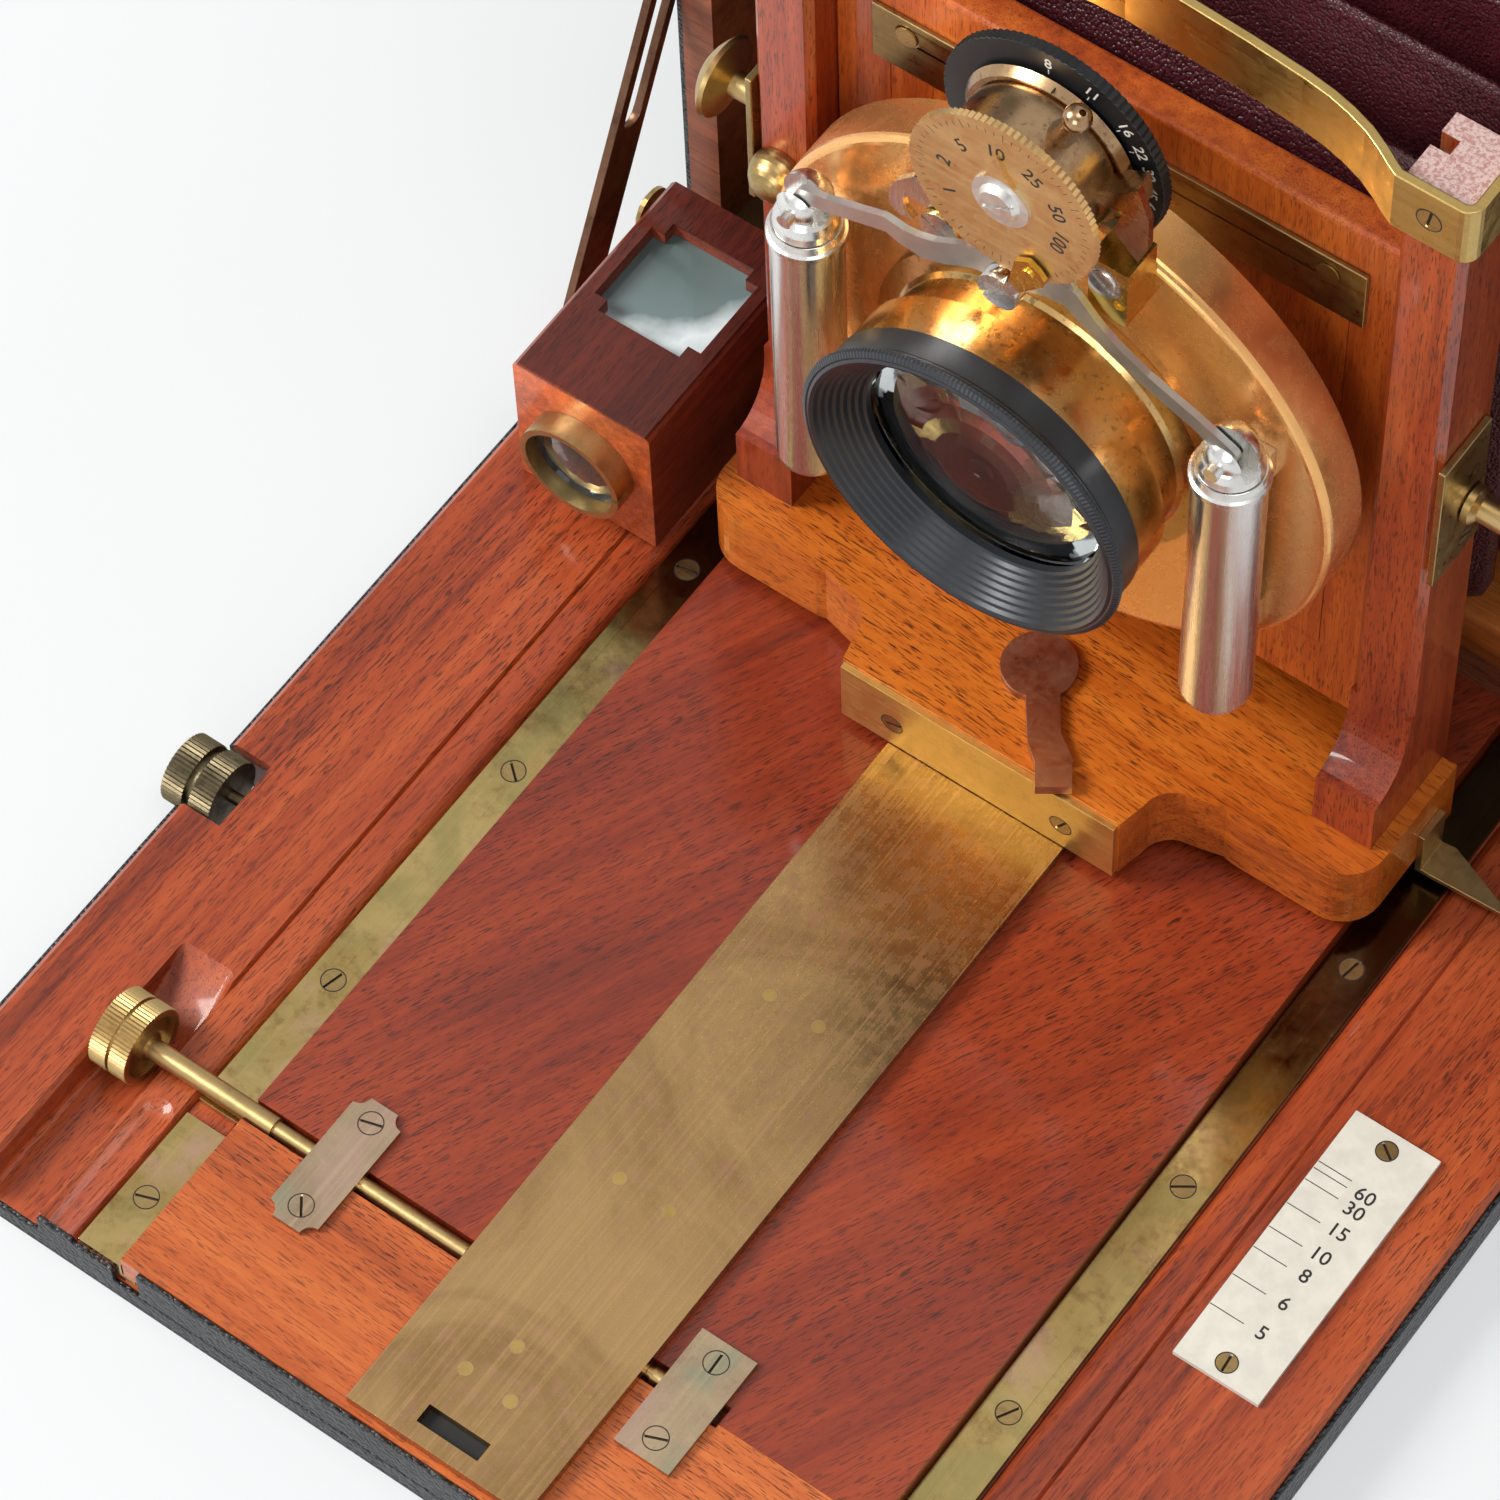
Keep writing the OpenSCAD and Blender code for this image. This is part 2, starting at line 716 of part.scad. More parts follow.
// The two rails, each with its tongue towards the inner board
module bed_rails() {
    color("goldenrod") place() for (side = [0, 1]) mirror([side, 0, 0]) difference() {
        along_y(0, rail_end_y) polygon([
            [rail_out, rail_seat], [rail_out, rail_top], [rail_in, rail_top],
            [rail_in, tongue_z + tongue_t], [rail_in - tongue_reach, tongue_z + tongue_t],
            [rail_in - tongue_reach, tongue_z], [rail_in + 1.5, tongue_z], [rail_in + 1.5, rail_seat]]);
        for (i = [0:rail_screws - 1])
            translate([rail_x, rail_screw_y + i * rail_screw_pitch, rail_top]) screw_sink(2.2, 5);
        if (side == 1) block([rail_in - 1, rod_y - 5.6, rail_seat - 1],
            [rail_out + 1, rod_y - 2.3, rail_top + 1]);
        if (side == 1) translate([0, wheel_y, wheel_z]) bar_x(wheel_shaft_r + fit, rail_in - 5,
            rail_out + 1);
    }
}

scale_mid_x = bed_w / 2 - 19.5;
scale_len = 57;
scale_w = 17.5;
scale_y0 = 91;
scale_plate_t = 1.1;
scale_screw_ys = [scale_y0 + 3.5, scale_y0 + scale_len - 3.7];

module focus_scale() {
    color("ivory") place() difference() {
        block([scale_mid_x - scale_w / 2, scale_y0, side_z + 0.02],
            [scale_mid_x + scale_w / 2, scale_y0 + scale_len, side_z + scale_plate_t]);
        for (y = scale_screw_ys) translate([scale_mid_x, y, side_z + scale_plate_t]) screw_sink(1.9, 5);
    }
}

// Rail and scale screws, tripod bush, hinge leaves, strut pivots and catch plates
module bed_fittings() {
    turns = [20, 75, -40, 10, 120, -20, 60, 35, 80, 150];
    color("khaki") place() {
        tripod_bush();
        for (side = [0, 1]) mirror([side, 0, 0]) {
            bed_hinge_leaf();
            strut_pivot();
        }
        for (side = [0, 1]) for (i = [0:rail_screws - 1])
            translate([(side == 0 ? -1 : 1) * rail_x, rail_screw_y + i * rail_screw_pitch, rail_top])
                slot_screw(2.2, 4.9, turns[i + side * rail_screws]);
        for (y = scale_screw_ys)
            translate([scale_mid_x, y, side_z + scale_plate_t]) slot_screw(1.9, 4.9, y);
    }
}

module tripod_bush() {
    translate([0, tripod_y, 0]) difference() {
        translate([0, 0, 0.1]) cylinder(r = tripod_r, h = floor_z - 0.2, $fn = 48);
        translate([0, 0, -1]) cylinder(r = 3.175, h = floor_z + 2, $fn = 48);
    }
}

// Pivot screw of a strut, and the catch plate beside it
module strut_pivot() {
    out = strut_x - bed_w / 2 + 6 + strut_t + gap;
    translate([bed_w / 2 - 6, strut_low_y, strut_low_z]) rotate([0, 90, 0]) {
        cylinder(r = strut_pin_r, h = out, $fn = 32);
        translate([0, 0, out]) cylinder(r = 4.2, h = 1.2, $fn = 32);
    }
    face = bed_w / 2 + leather_t + 0.05;
    translate([face, catch_y, 0]) along_x(0, 0.9) polygon(concat(
        [[-4.5, 3], [4.5, 3]], arc(0, catch_z, 4.5, 0, 180, 10)));
    translate([face + 0.9, catch_y, catch_z]) bar_x(2.8, 0, 0.8);
}

// Edge wheel with its shaft and pinion
module edge_wheel() {
    color("goldenrod") place() translate([0, wheel_y, wheel_z]) {
        difference() {
            translate([wheel_x, 0, 0]) rotate([0, 90, 0]) milled_disc(wheel_r, wheel_t, 48);
            translate([wheel_x + wheel_t / 2, 0, 0]) rotate([0, 90, 0]) difference() {
                cylinder(r = wheel_r + 1, h = 1.6, center = true, $fn = 48);
                cylinder(r = wheel_r - 1.2, h = 2, center = true, $fn = 48);
            }
        }
        bar_x(wheel_shaft_r, wheel_x + wheel_t, wheel_rack_x - wheel_rack_w / 2 + 0.5);
        along_x(wheel_rack_x - wheel_rack_w / 2 + 0.5, wheel_rack_x + wheel_rack_w / 2 - 0.5)
            pinion_outline(gear_teeth, wheel_m);
    }
}

// A strut: a flat bar with a pivot hole and a long slot
module strut_bar(side) {
    slot_from = 56;
    slot_to = strut_reach + strut_pin_r + 0.4;
    slot_r = strut_pin_r + 0.5;
    translate([side * strut_x, strut_low_y, strut_low_z]) mirror([side > 0 ? 0 : 1, 0, 0])
        along_x(0, strut_t) rotate(strut_angle) difference() {
            union() {
                translate([0, -strut_w / 2]) square([strut_reach + 4, strut_w]);
                circle(r = strut_w / 2, $fn = 48);
                translate([strut_reach + 4, 0]) circle(r = strut_w / 2, $fn = 48);
            }
            circle(r = strut_pin_r + fit, $fn = 48);
            translate([slot_from, -slot_r]) square([slot_to - slot_r - slot_from, 2 * slot_r]);
            translate([slot_from, 0]) circle(r = slot_r, $fn = 32);
            translate([slot_to - slot_r, 0]) circle(r = slot_r, $fn = 32);
        }
}

module strut_left() {
    color("darkgoldenrod") place() strut_bar(-1);
}

module strut_right() {
    color("darkgoldenrod") place() strut_bar(1);
}

// Finder

module at_finder() {
    translate([finder_x, finder_y + finder_l / 2, finder_z]) rotate([0, 0, finder_turn])
        translate([0, -finder_l / 2, 0]) children();
}

window_y = 18;
window_l = 23.5;

// Opening in the finder's top: a rectangle with its corners stepped in
module window_outline(grow = 0) {
    half = finder_w / 2 - 3.4 + grow;
    step = 2.8;
    translate([-half + step, window_y - grow]) square([2 * (half - step), window_l + 2 * grow]);
    translate([-half, window_y + step]) square([2 * half, window_l - 2 * step]);
}

module finder_box() {
    half = finder_w / 2;
    ring_z = finder_ring_z - finder_z;
    color("chocolate") place() at_finder() difference() {
        union() {
            along_y(0, finder_l) polygon([[-half, 0], [half, 0], [half, finder_h - 1],
                [half - 1, finder_h], [-half + 1, finder_h], [-half, finder_h - 1]]);
            translate([0, finder_l / 2, -gap - side_t + 1]) cylinder(r = 2, h = side_t + 1, $fn = 32);
        }
        block([-half + finder_wall, finder_wall + 5, 3], [half - finder_wall, finder_l - finder_wall,
            finder_h - 3.2]);
        translate([0, 0, finder_h - 4]) linear_extrude(6) window_outline();
        translate([0, 0, ring_z]) bar_y(finder_r - 2.6, -1, 10);
    }
}

module finder_lens_ring() {
    out = 5;
    mid = finder_ring_z - finder_z;
    color("goldenrod") place() at_finder() difference() {
        turned_y(0, mid) polygon([
            [finder_r - 1.3, -out], [finder_r, -out], [finder_r, -0.05], [finder_r - 2.65, -0.05],
            [finder_r - 2.65, 3], [finder_r - 3.5, 3], [finder_r - 3.5, -1], [finder_r - 1.3, -1]]);
        block([0, -out - 1, mid - 0.4], [finder_r + 1, -out + 2.6, mid + 0.4]);
    }
}

// Reflecting glass under the window, and the small lens in the ring
module finder_glass() {
    r = finder_r - 1.35;
    color("lightblue") place() at_finder() {
        translate([0, 0, finder_h - 5]) linear_extrude(1.7) offset_window();
        turned_y(0, finder_ring_z - finder_z) polygon(concat(
            [[0, -1.05]], arc(0, 17, 20.4, -90, -62, 5), [[r, -1.9], [r, -1.05]]));
    }
}

module offset_window() {
    half = finder_w / 2 - finder_wall - 0.1;
    translate([-half, window_y - 1.5]) square([2 * half, window_l + 3]);
}

// Inner bed

board_end_y = bed_l - 3;

module inner_board() {
    groove_low = tongue_z - gap;
    groove_high = tongue_z + tongue_t + gap;
    groove_in = rail_in - tongue_reach - gap;
    color("chocolate") place() difference() {
        block([-board_x, cleat_l + 0.05, board_z], [board_x, board_end_y, board_top]);
        for (side = [0, 1]) mirror([side, 0, 0])
            block([groove_in, 0, groove_low], [board_x + 1, board_end_y + 1, groove_high]);
        rod_slot();
        rod_plate_holes();
        block([wheel_rack_x - wheel_rack_w / 2 - 0.05, wheel_y - 7, board_z - 1],
            [wheel_rack_x + wheel_rack_w / 2 + 0.05, wheel_y + bed_travel + 9, board_rack_top + 0.05]);
        block([-board_x - 1, wheel_y - wheel_shaft_r - gap, wheel_z - wheel_shaft_r - gap],
            [wheel_rack_x, wheel_y + bed_travel + 4, wheel_z + wheel_shaft_r + gap]);
    }
}

board_rack_top = wheel_z + wheel_gear_r + 2.2;

module board_rack() {
    color("goldenrod") place() translate([0, wheel_y, 0])
        along_x(wheel_rack_x - wheel_rack_w / 2, wheel_rack_x + wheel_rack_w / 2)
            rack_outline(-6, bed_travel + 8, wheel_z + wheel_gear_r, wheel_m, board_rack_top);
}

module rod_slot() {
    block([-board_x - 1, rod_y - slot_half, rod_z - slot_half],
        [rod_right_x + 1.2, rod_y + slot_half, board_top + 1]);
    block([-gear_w / 2 - 0.5, rod_y - 3.2, rod_z - 3.2], [gear_w / 2 + 0.5, rod_y + 3.2, board_top + 1]);
}

module front_cleat() {
    groove_in = rail_in - tongue_reach - gap;
    color("chocolate") place() difference() {
        block([-board_x, 0, board_z], [board_x, cleat_l, board_top]);
        for (side = [0, 1]) mirror([side, 0, 0])
            block([groove_in, -1, tongue_z - gap], [board_x + 1, cleat_l + 1, tongue_z + tongue_t + gap]);
        rod_slot();
        rod_plate_holes();
    }
}

module board_leather() {
    color("dimgray") place() block([-board_x + 4, -leather_t, board_z],
        [board_x - 4, -0.03, board_top - 0.4]);
}

plate_t = 1.2;
plate_y0 = rod_y - 14.4;

// The two plates: left edge, right edge, rear edge
rod_plate_list = [[-53.5, -43, rod_y + 13.6], [22.4, 34, rod_y + 11.2]];

module rod_plate_holes() {
    for (p = rod_plate_list) for (y = [plate_y0 + 4.3, p[2] - 4])
        translate([(p[0] + p[1]) / 2, y, board_top + plate_t]) screw_sink(2.2, 6);
}

// Plates that hold the focusing rod down, with their screws
module rod_plates() {
    color("rosybrown") place() {
        difference() {
            for (p = rod_plate_list)
                block([p[0], plate_y0, board_top + 0.02], [p[1], p[2], board_top + plate_t]);
            for (i = [0, 1]) for (y = [plate_y0, rod_plate_list[0][2]])
                translate([rod_plate_list[0][i], y, board_top - 1]) cylinder(r = 2.3, h = 4, $fn = 32);
            rod_plate_holes();
            translate([0, rod_y, rod_z]) bar_x(rod_r + fit, -60, rod_right_x + 3);
        }
        for (p = rod_plate_list) for (i = [0, 1])
            translate([(p[0] + p[1]) / 2, [plate_y0 + 4.3, p[2] - 4][i], board_top + plate_t])
                slot_screw(2.2, 5.9, p[0] + 70 * i);
    }
}

module pinion_rod() {
    color("goldenrod") place() translate([0, rod_y, rod_z]) {
        bar_x(sleeve_r, knob_x + knob_t + 0.02, -62);
        bar_x(rod_r, -62, -track_w / 2 - 0.8);
        bar_x(rod_thin_r, -track_w / 2 - 0.8, track_w / 2 + 1);
        bar_x(rod_r, track_w / 2 + 1, rod_right_x);
        along_x(-gear_w / 2, gear_w / 2) pinion_outline(gear_teeth, gear_m);
    }
}

module focus_knob() {
    color("goldenrod") place() translate([knob_x, rod_y, rod_z]) rotate([0, 90, 0]) difference() {
        milled_disc(knob_r, knob_t, 60);
        translate([0, 0, knob_t / 2]) difference() {
            cylinder(r = knob_r + 1, h = 0.7, center = true, $fn = 48);
            cylinder(r = knob_r - 0.8, h = 1, center = true, $fn = 48);
        }
        translate([0, 0, knob_t - 1.2]) difference() {
            cylinder(r = knob_r - 1.5, h = 3, $fn = 48);
            cylinder(r = sleeve_r + 0.8, h = 7, center = true, $fn = 48);
        }
    }
}

// Track plate with its rack and the catch slot near its front edge
track_end_y = bed_l - 5;

module track_plate() {
    half = track_w / 2;
    tip_z = rod_z + gear_r - 0.75 * gear_m;
    color("darkgoldenrod") place() difference() {
        block([-half, track_front_y, track_z], [half, track_end_y, track_top]);
        block([-6.5, 4.5, track_z - 1], [6.5, 8.3, track_top + 1]);
        translate([0, rod_y, 0]) along_x(-rack_band / 2, rack_band / 2) difference() {
            translate([-5, track_z - 1]) square([focus_travel + 12,
                rod_z + gear_r + gear_m - track_z + 1]);
            rack_outline(-5.01, focus_travel + 7.01, rod_z + gear_r, gear_m, track_top + 5);
        }
    }
}

// Lens standard

// Plan of the base: a straight front between two coves, a rounded lobe at each end
module base_outline() {
    front = base_y + strip_t + 0.03;
    cove = 6.5;
    lobe_y = base_y + 14.4;
    r = 8;
    end = base_w / 2;
    right = concat(
        [[strip_half + 0.4, front]],
        arc(strip_half + 0.4 + cove + 1.2, lobe_y - cove - 1, cove, 180, 90, 6),
        arc(strip_half + 17, lobe_y + 12, 12, -105, -90, 3),
        arc(end - r, lobe_y + r, r, -90, 0, 8),
        [[end, base_back_y]]);
    polygon(concat(right, mirrored(right)));
}

module standard_base() {
    color("peru") place() difference() {
        translate([0, 0, base_z]) linear_extrude(base_t) base_outline();
        translate([0, 0, base_top]) clamp_pivot_hole();
        for (side = [-1, 1]) translate([side * strip_screw_x, base_y, base_z + 6.7])
            rotate([90, 0, 0]) screw_sink(2.2, 5.5);
    }
}

strip_screw_x = 18.3;
clamp_y = base_y + 19.6;

module clamp_pivot_hole() {
    translate([0, clamp_y, -base_t - 1]) cylinder(r = 2 + fit, h = base_t + 2, $fn = 32);
}

module base_strip() {
    color("gold") place() difference() {
        block([-strip_half, base_y, base_z], [strip_half, base_y + strip_t, base_top - 0.7]);
        for (side = [-1, 1]) translate([side * strip_screw_x, base_y, base_z + 6.7])
            rotate([90, 0, 0]) screw_sink(2.2, 5.5);
    }
}

// Side view of a post: the foot reaches forward, and a hollow sweep leads up to the straight part
module post_outline() {
    foot = post_y - 9.3;
    sweep = 13;
    polygon(concat(
        [[foot, base_top + 0.02], [post_back_y, base_top + 0.02], [post_back_y, post_top],
            [post_y, post_top]],
        [for (i = [0:8]) let (a = 90 * i / 8)
            [post_y - 9.3 * (1 - cos(a)) , base_top + 13.2 + sweep * (1 - sin(a))]]));
}

module post_solid() {
    difference() {
        along_x(post_x, post_x + post_w) post_outline();
        block([post_x - 1, groove_y, base_top - 1], [post_x + groove_depth, groove_y + groove_w,
            post_top + 1]);
        for (x = [post_x, post_x + post_w]) translate([x, post_y, base_top + 30]) rotate([0, 0, 45])
            translate([-1, -1, 0]) cube([2, 2, 200]);
        translate([post_x - 5, lock_y, lens_z + 2]) bar_x(2 + fit, 0, post_w + 10);
        translate([post_x + post_w / 2, post_y, yoke_screw_z]) rotate([90, 0, 0])
            translate([0, 0, yoke_t]) screw_sink(2.2, 6);
        translate([post_x + post_w + yoke_t, lock_y, yoke_screw_z]) rotate([0, 90, 0]) screw_sink(2.2, 6);
        for (dz = [8, -10]) translate([post_x + post_w + lock_plate_t, lock_y, lens_z + dz + 2])
            rotate([0, 90, 0]) screw_sink(1.9, 5);
    }
}

lock_y = post_y + 9;
lock_plate_t = 1.4;
yoke_screw_z = yoke_z + yoke_h / 2;

module post_left() {
    color("sienna") place() mirror([1, 0, 0]) post_solid();
}

module post_right() {
    color("sienna") place() post_solid();
}

// Middle line of the yoke from the centre to the right-hand end
function yoke_line() = let (
    x_out = post_x + post_w + yoke_t / 2 + 0.03,
    y_front = post_y - yoke_t / 2 - 0.03,
    y_mid = yoke_mid_y)
    concat(
        [for (p = [[-post_x, 1], [-45, 0.95], [-33, 0.885], [-22, 0.79], [-16.9, 0.715], [-12.7, 0.61],
            [-8.5, 0.46], [-4.9, 0.27], [-2.2, 0.1], [-0.4, 0], [2, 0]])
            [post_x + p[0], y_front + (y_mid - y_front) * p[1]]],
        arc(x_out - 2, y_front + 2, 2, -90, 0, 5),
        [[x_out, post_back_y - 1.5]]);

// Points beside a line, at a distance to its left
function beside(line, d) = [for (i = [0:len(line) - 1])
    let (
        a = line[max(i - 1, 0)],
        b = line[min(i + 1, len(line) - 1)],
        u = (b - a) / norm(b - a))
    [line[i][0] - u[1] * d, line[i][1] + u[0] * d]];

// Brass strip that joins the post tops: round each post's corner, then bowed back between them
module post_yoke() {
    half = yoke_line();
    line = concat(mirrored([for (i = [1:len(half) - 1]) half[i]]), half);
    right = beside(line, -yoke_t / 2);
    color("gold") place() difference() {
        translate([0, 0, yoke_z]) linear_extrude(yoke_h)
            polygon(concat(beside(line, yoke_t / 2), [for (i = [len(right) - 1:-1:0]) right[i]]));
        for (side = [0, 1]) mirror([side, 0, 0]) {
            translate([post_x + post_w / 2, post_y - yoke_t - 0.03, yoke_screw_z]) rotate([90, 0, 0])
                screw_sink(2.2, 6);
            translate([post_x + post_w + yoke_t + 0.03, lock_y, yoke_screw_z]) rotate([0, 90, 0])
                screw_sink(2.2, 6);
        }
    }
}

module standard_screws() {
    color("khaki") place() {
        for (side = [-1, 1]) translate([side * strip_screw_x, base_y, base_z + 6.7])
            rotate([90, 0, 0]) slot_screw(2.2, 5.4, 40 + side * 20);
        translate([-post_x - post_w / 2 - 0.6, post_y - 0.03, lens_z]) rotate([90, 0, 0])
            rotate_extrude($fn = 48)
            polygon(concat([[0, 0], [5, 0]], arc(0, 1.2, 5.2, -12, 90, 10)));
        for (side = [0, 1]) mirror([side, 0, 0]) {
            translate([post_x + post_w / 2, post_y - yoke_t - 0.03, yoke_screw_z]) rotate([90, 0, 0])
                slot_screw(2.2, 5.9, 80);
            translate([post_x + post_w + yoke_t + 0.03, lock_y, yoke_screw_z]) rotate([0, 90, 0])
                slot_screw(2.2, 5.9, 15);
            for (dz = [8, -10]) translate([post_x + post_w + lock_plate_t, lock_y, lens_z + dz + 2])
                rotate([0, 90, 0]) slot_screw(1.9, 4.9, 60);
        }
    }
}

// Brass angle at the base's right end, with a tip over the scale
module scale_pointer() {
    z = side_z + scale_plate_t + gap;
    color("gold") place() {
        translate([0, 0, z]) linear_extrude(1.1) polygon([
            [base_w / 2 + 0.05, base_y + 34], [base_w / 2 + 0.05, base_y + 41],
                [base_w / 2 + 4, base_y + 41.5],
            [scale_mid_x - 8, base_y + 35.5], [scale_mid_x - 8, base_y + 34.7],
                [base_w / 2 + 3, base_y + 34]]);
        block([base_w / 2 + 0.05, base_y + 34, z], [base_w / 2 + 1.3, base_y + 41, base_z + 8]);
    }
}

// Lock plates on the outer faces of the posts, and the ball catch in the left post
module lock_plates() {
    color("darkkhaki") place() for (side = [0, 1]) mirror([side, 0, 0]) difference() {
        block([post_x + post_w + 0.02, post_y - 0.7, lens_z - 12],
            [post_x + post_w + lock_plate_t, post_back_y - 1.5, lens_z + 21]);
        translate([post_x - 5, lock_y, lens_z + 2]) bar_x(2 + fit, 0, post_w + 10);
        for (dz = [8, -10]) translate([post_x + post_w + lock_plate_t, lock_y, lens_z + dz + 2])
            rotate([0, 90, 0]) screw_sink(1.9, 5);
    }
}

module lock_knob() {
    t = post_w - groove_depth - 0.3 + lock_plate_t;
    color("gold") place() translate([post_x + groove_depth + 0.3, lock_y, lens_z + 2])
        rotate([0, 90, 0]) rotate_extrude($fn = 64) polygon(concat(
            [[0, 0], [2, 0], [2, t + 0.3], [3.6, t + 0.3], [3.6, t + 1.6], [2.4, t + 2.6], [2.4, t + 9.5],
                [7.6, t + 11.2], [8, t + 12]], arc(0, t + 4.6, 10.9, 44, 90, 6)));
}

module lock_knob_left() {
    mirror([1, 0, 0]) lock_knob();
}

module lock_knob_right() {
    lock_knob();
}

module clamp_lever() {
    z = base_top + gap;
    color("rosybrown") place() translate([0, clamp_y, 0]) {
        translate([0, 0, z]) cylinder(r = 7, h = 1.4, $fn = 64);
        translate([0, 0, base_z + 1]) cylinder(r = 2, h = base_t + 0.5, $fn = 32);
        translate([0, 0, z]) linear_extrude(1.4)
            polygon([[1.5, -6.5], [6.6, -3], [11.2, -9.5], [16.4, -13], [12.6, -18.5], [7.5, -14.5]]);
        translate([13.6, -16.2, z]) rotate([0, 0, -55]) translate([0, -2.8, 0]) cube([5, 6.6, 2.4]);
    }
}

// Lens panel

module panel_frame() {
    color("chocolate") place() difference() {
        union() {
            block([-panel_x, panel_y, panel_low], [panel_x, panel_y + panel_t, panel_high]);
            block([-post_x - groove_depth + gap, groove_y + gap, panel_low],
                [post_x + groove_depth - gap, groove_y + groove_w - gap, panel_high]);
            along_x(-panel_x, panel_x) polygon(concat(
                [[panel_y + panel_t + 0.4, panel_high]],
                arc(panel_y + panel_t - 0.4, cap_high - 0.8, 0.8, 0, 90, 4),
                arc(panel_y + 0.4, cap_high - 0.8, 0.8, 90, 180, 4),
                [[panel_y - 0.4, panel_high]]));
        }
        block([-stile_x, panel_y - 1, board_low], [stile_x, panel_y + 3.4, board_high]);
        block([-stile_x + 6, panel_y - 1, board_low + 8], [stile_x - 6, panel_y + panel_t + 1,
            board_high - 6]);
        retainer_screw_holes();
    }
}

board_low = lens_z - 62;
board_high = lens_z + 48;

module lens_board() {
    color("chocolate") place() difference() {
        block([-stile_x + 0.15, panel_y, board_low + 0.15],
            [stile_x - 0.15, panel_y + 3.3, board_high - 0.15]);
        translate([0, 0, lens_z]) bar_y(34, panel_y - 1, panel_y + 9);
        retainer_screw_holes();
    }
}

retainer_z = lens_z + 46.4;

module retainer_screw_holes() {
    for (side = [-1, 1]) translate([side * 41.2, panel_y - 1, retainer_z]) rotate([90, 0, 0])
        screw_sink(2.2, 3.5);
}

module board_retainer() {
    color("darkkhaki") place() difference() {
        block([-48.4, panel_y - 1, lens_z + 36.6], [48.4, panel_y - 0.02, lens_z + 50.3]);
        retainer_screw_holes();
    }
}

// Shutter drum with the narrower stand-off behind it, and the lug that carries the dial's post
module shutter_drum() {
    lug_t = 2.2;
    color("darkgoldenrod") place() {
        block([-10, scale_back_y + 0.03, lens_z + 48], [10, scale_back_y + lug_t, dial_z]);
        translate([0, 0, dial_z]) bar_y(10, scale_back_y + 0.03, scale_back_y + lug_t);
        turned_y(0, lens_z) polygon(concat(
            [[neck_r - 1.5, drum_y + 0.05], [drum_r - 1.5, drum_y + 0.05]],
            arc(drum_r - 1.5, drum_y + 1.55, 1.5, -90, 0, 4),
            [[drum_r, drum_back_y], [36.3, drum_back_y], [36.3, panel_y - 0.05], [33.5, panel_y - 0.05],
                [33.5, panel_y + panel_t], [28, panel_y + panel_t], [28, drum_back_y - 1.5],
                [neck_r - 1.5, drum_back_y - 1.5]]));
    }
}

// Brass barrel in front of the drum: collar, neck and the wider sleeve
module lens_barrel() {
    color("darkgoldenrod") place() turned_y(0, lens_z) polygon([
        [neck_r - 1.5, drum_y], [collar_r, drum_y], [collar_r, drum_y - 1.6],
            [neck_r + 0.8, drum_y - 2.2],
        [neck_r, drum_y - 3], [neck_r, barrel_step_y + 1], [barrel_r, barrel_step_y],
        [barrel_r, hood_back_y + 0.05], [barrel_r - 3.5, hood_back_y + 0.05],
            [barrel_r - 3.5, barrel_step_y],
        [neck_r - 1.5, barrel_step_y + 1.5]]);
}

// Black hood: a milled bead at the rim and a ringed cone down to the glass
module lens_hood() {
    rings = 7;
    depth = glass_y - hood_front_y;
    cone = [for (i = [0:rings - 1]) for (q = [[0, 0], [0.75, 0.35]])
        let (u = (i + q[0]) / rings)
        [hood_r - 1.9 - (hood_r - 1.9 - glass_r) * (i + q[1]) / rings, hood_front_y + depth * u]];
    color("darkslategray") place() turned_y(0, lens_z) polygon(concat(
        [[hood_r - 1.2, hood_front_y - 0.3], [hood_r, hood_front_y + 0.3], [hood_r, hood_front_y + 2.2],
            [hood_r - 0.5, hood_front_y + 2.7], [hood_r - 0.4, hood_back_y],
                [barrel_r - 3.6, hood_back_y],
            [barrel_r - 3.6, glass_y + 1.4], [glass_r, glass_y + 1.4], [glass_r, glass_y]],
        [for (i = [2 * rings - 1:-1:0]) cone[i]]));
}

// Front element, domed forwards
module lens_glass() {
    r = glass_r + 1.2;
    bulge = 4.2;
    y = glass_y + 1.6;
    sphere_r = (r * r + bulge * bulge) / (2 * bulge);
    half = asin(glass_r / sphere_r);
    color("lightblue") place() turned_y(0, lens_z) polygon(concat(
        [[0, y + 7]],
        arc(0, y - 0.7 * bulge + sphere_r, sphere_r, -90, -90 + half, 8),
        [[r, y], [r, y + 4], [glass_r - 4, y + 7]]));
}

// Round plate behind the dial with a milled rim, cut away below where it meets the drum
module aperture_scale() {
    color("dimgray") place() difference() {
        translate([0, scale_back_y, dial_z]) rotate([90, 0, 0]) milled_disc(scale_r, scale_t, 90);
        translate([0, 0, dial_z]) bar_y(stub_r + 0.05, scale_y - 1, scale_back_y + 1);
        translate([0, 0, lens_z]) bar_y(drum_r + 0.1, scale_y - 1, scale_back_y + 1);
    }
}

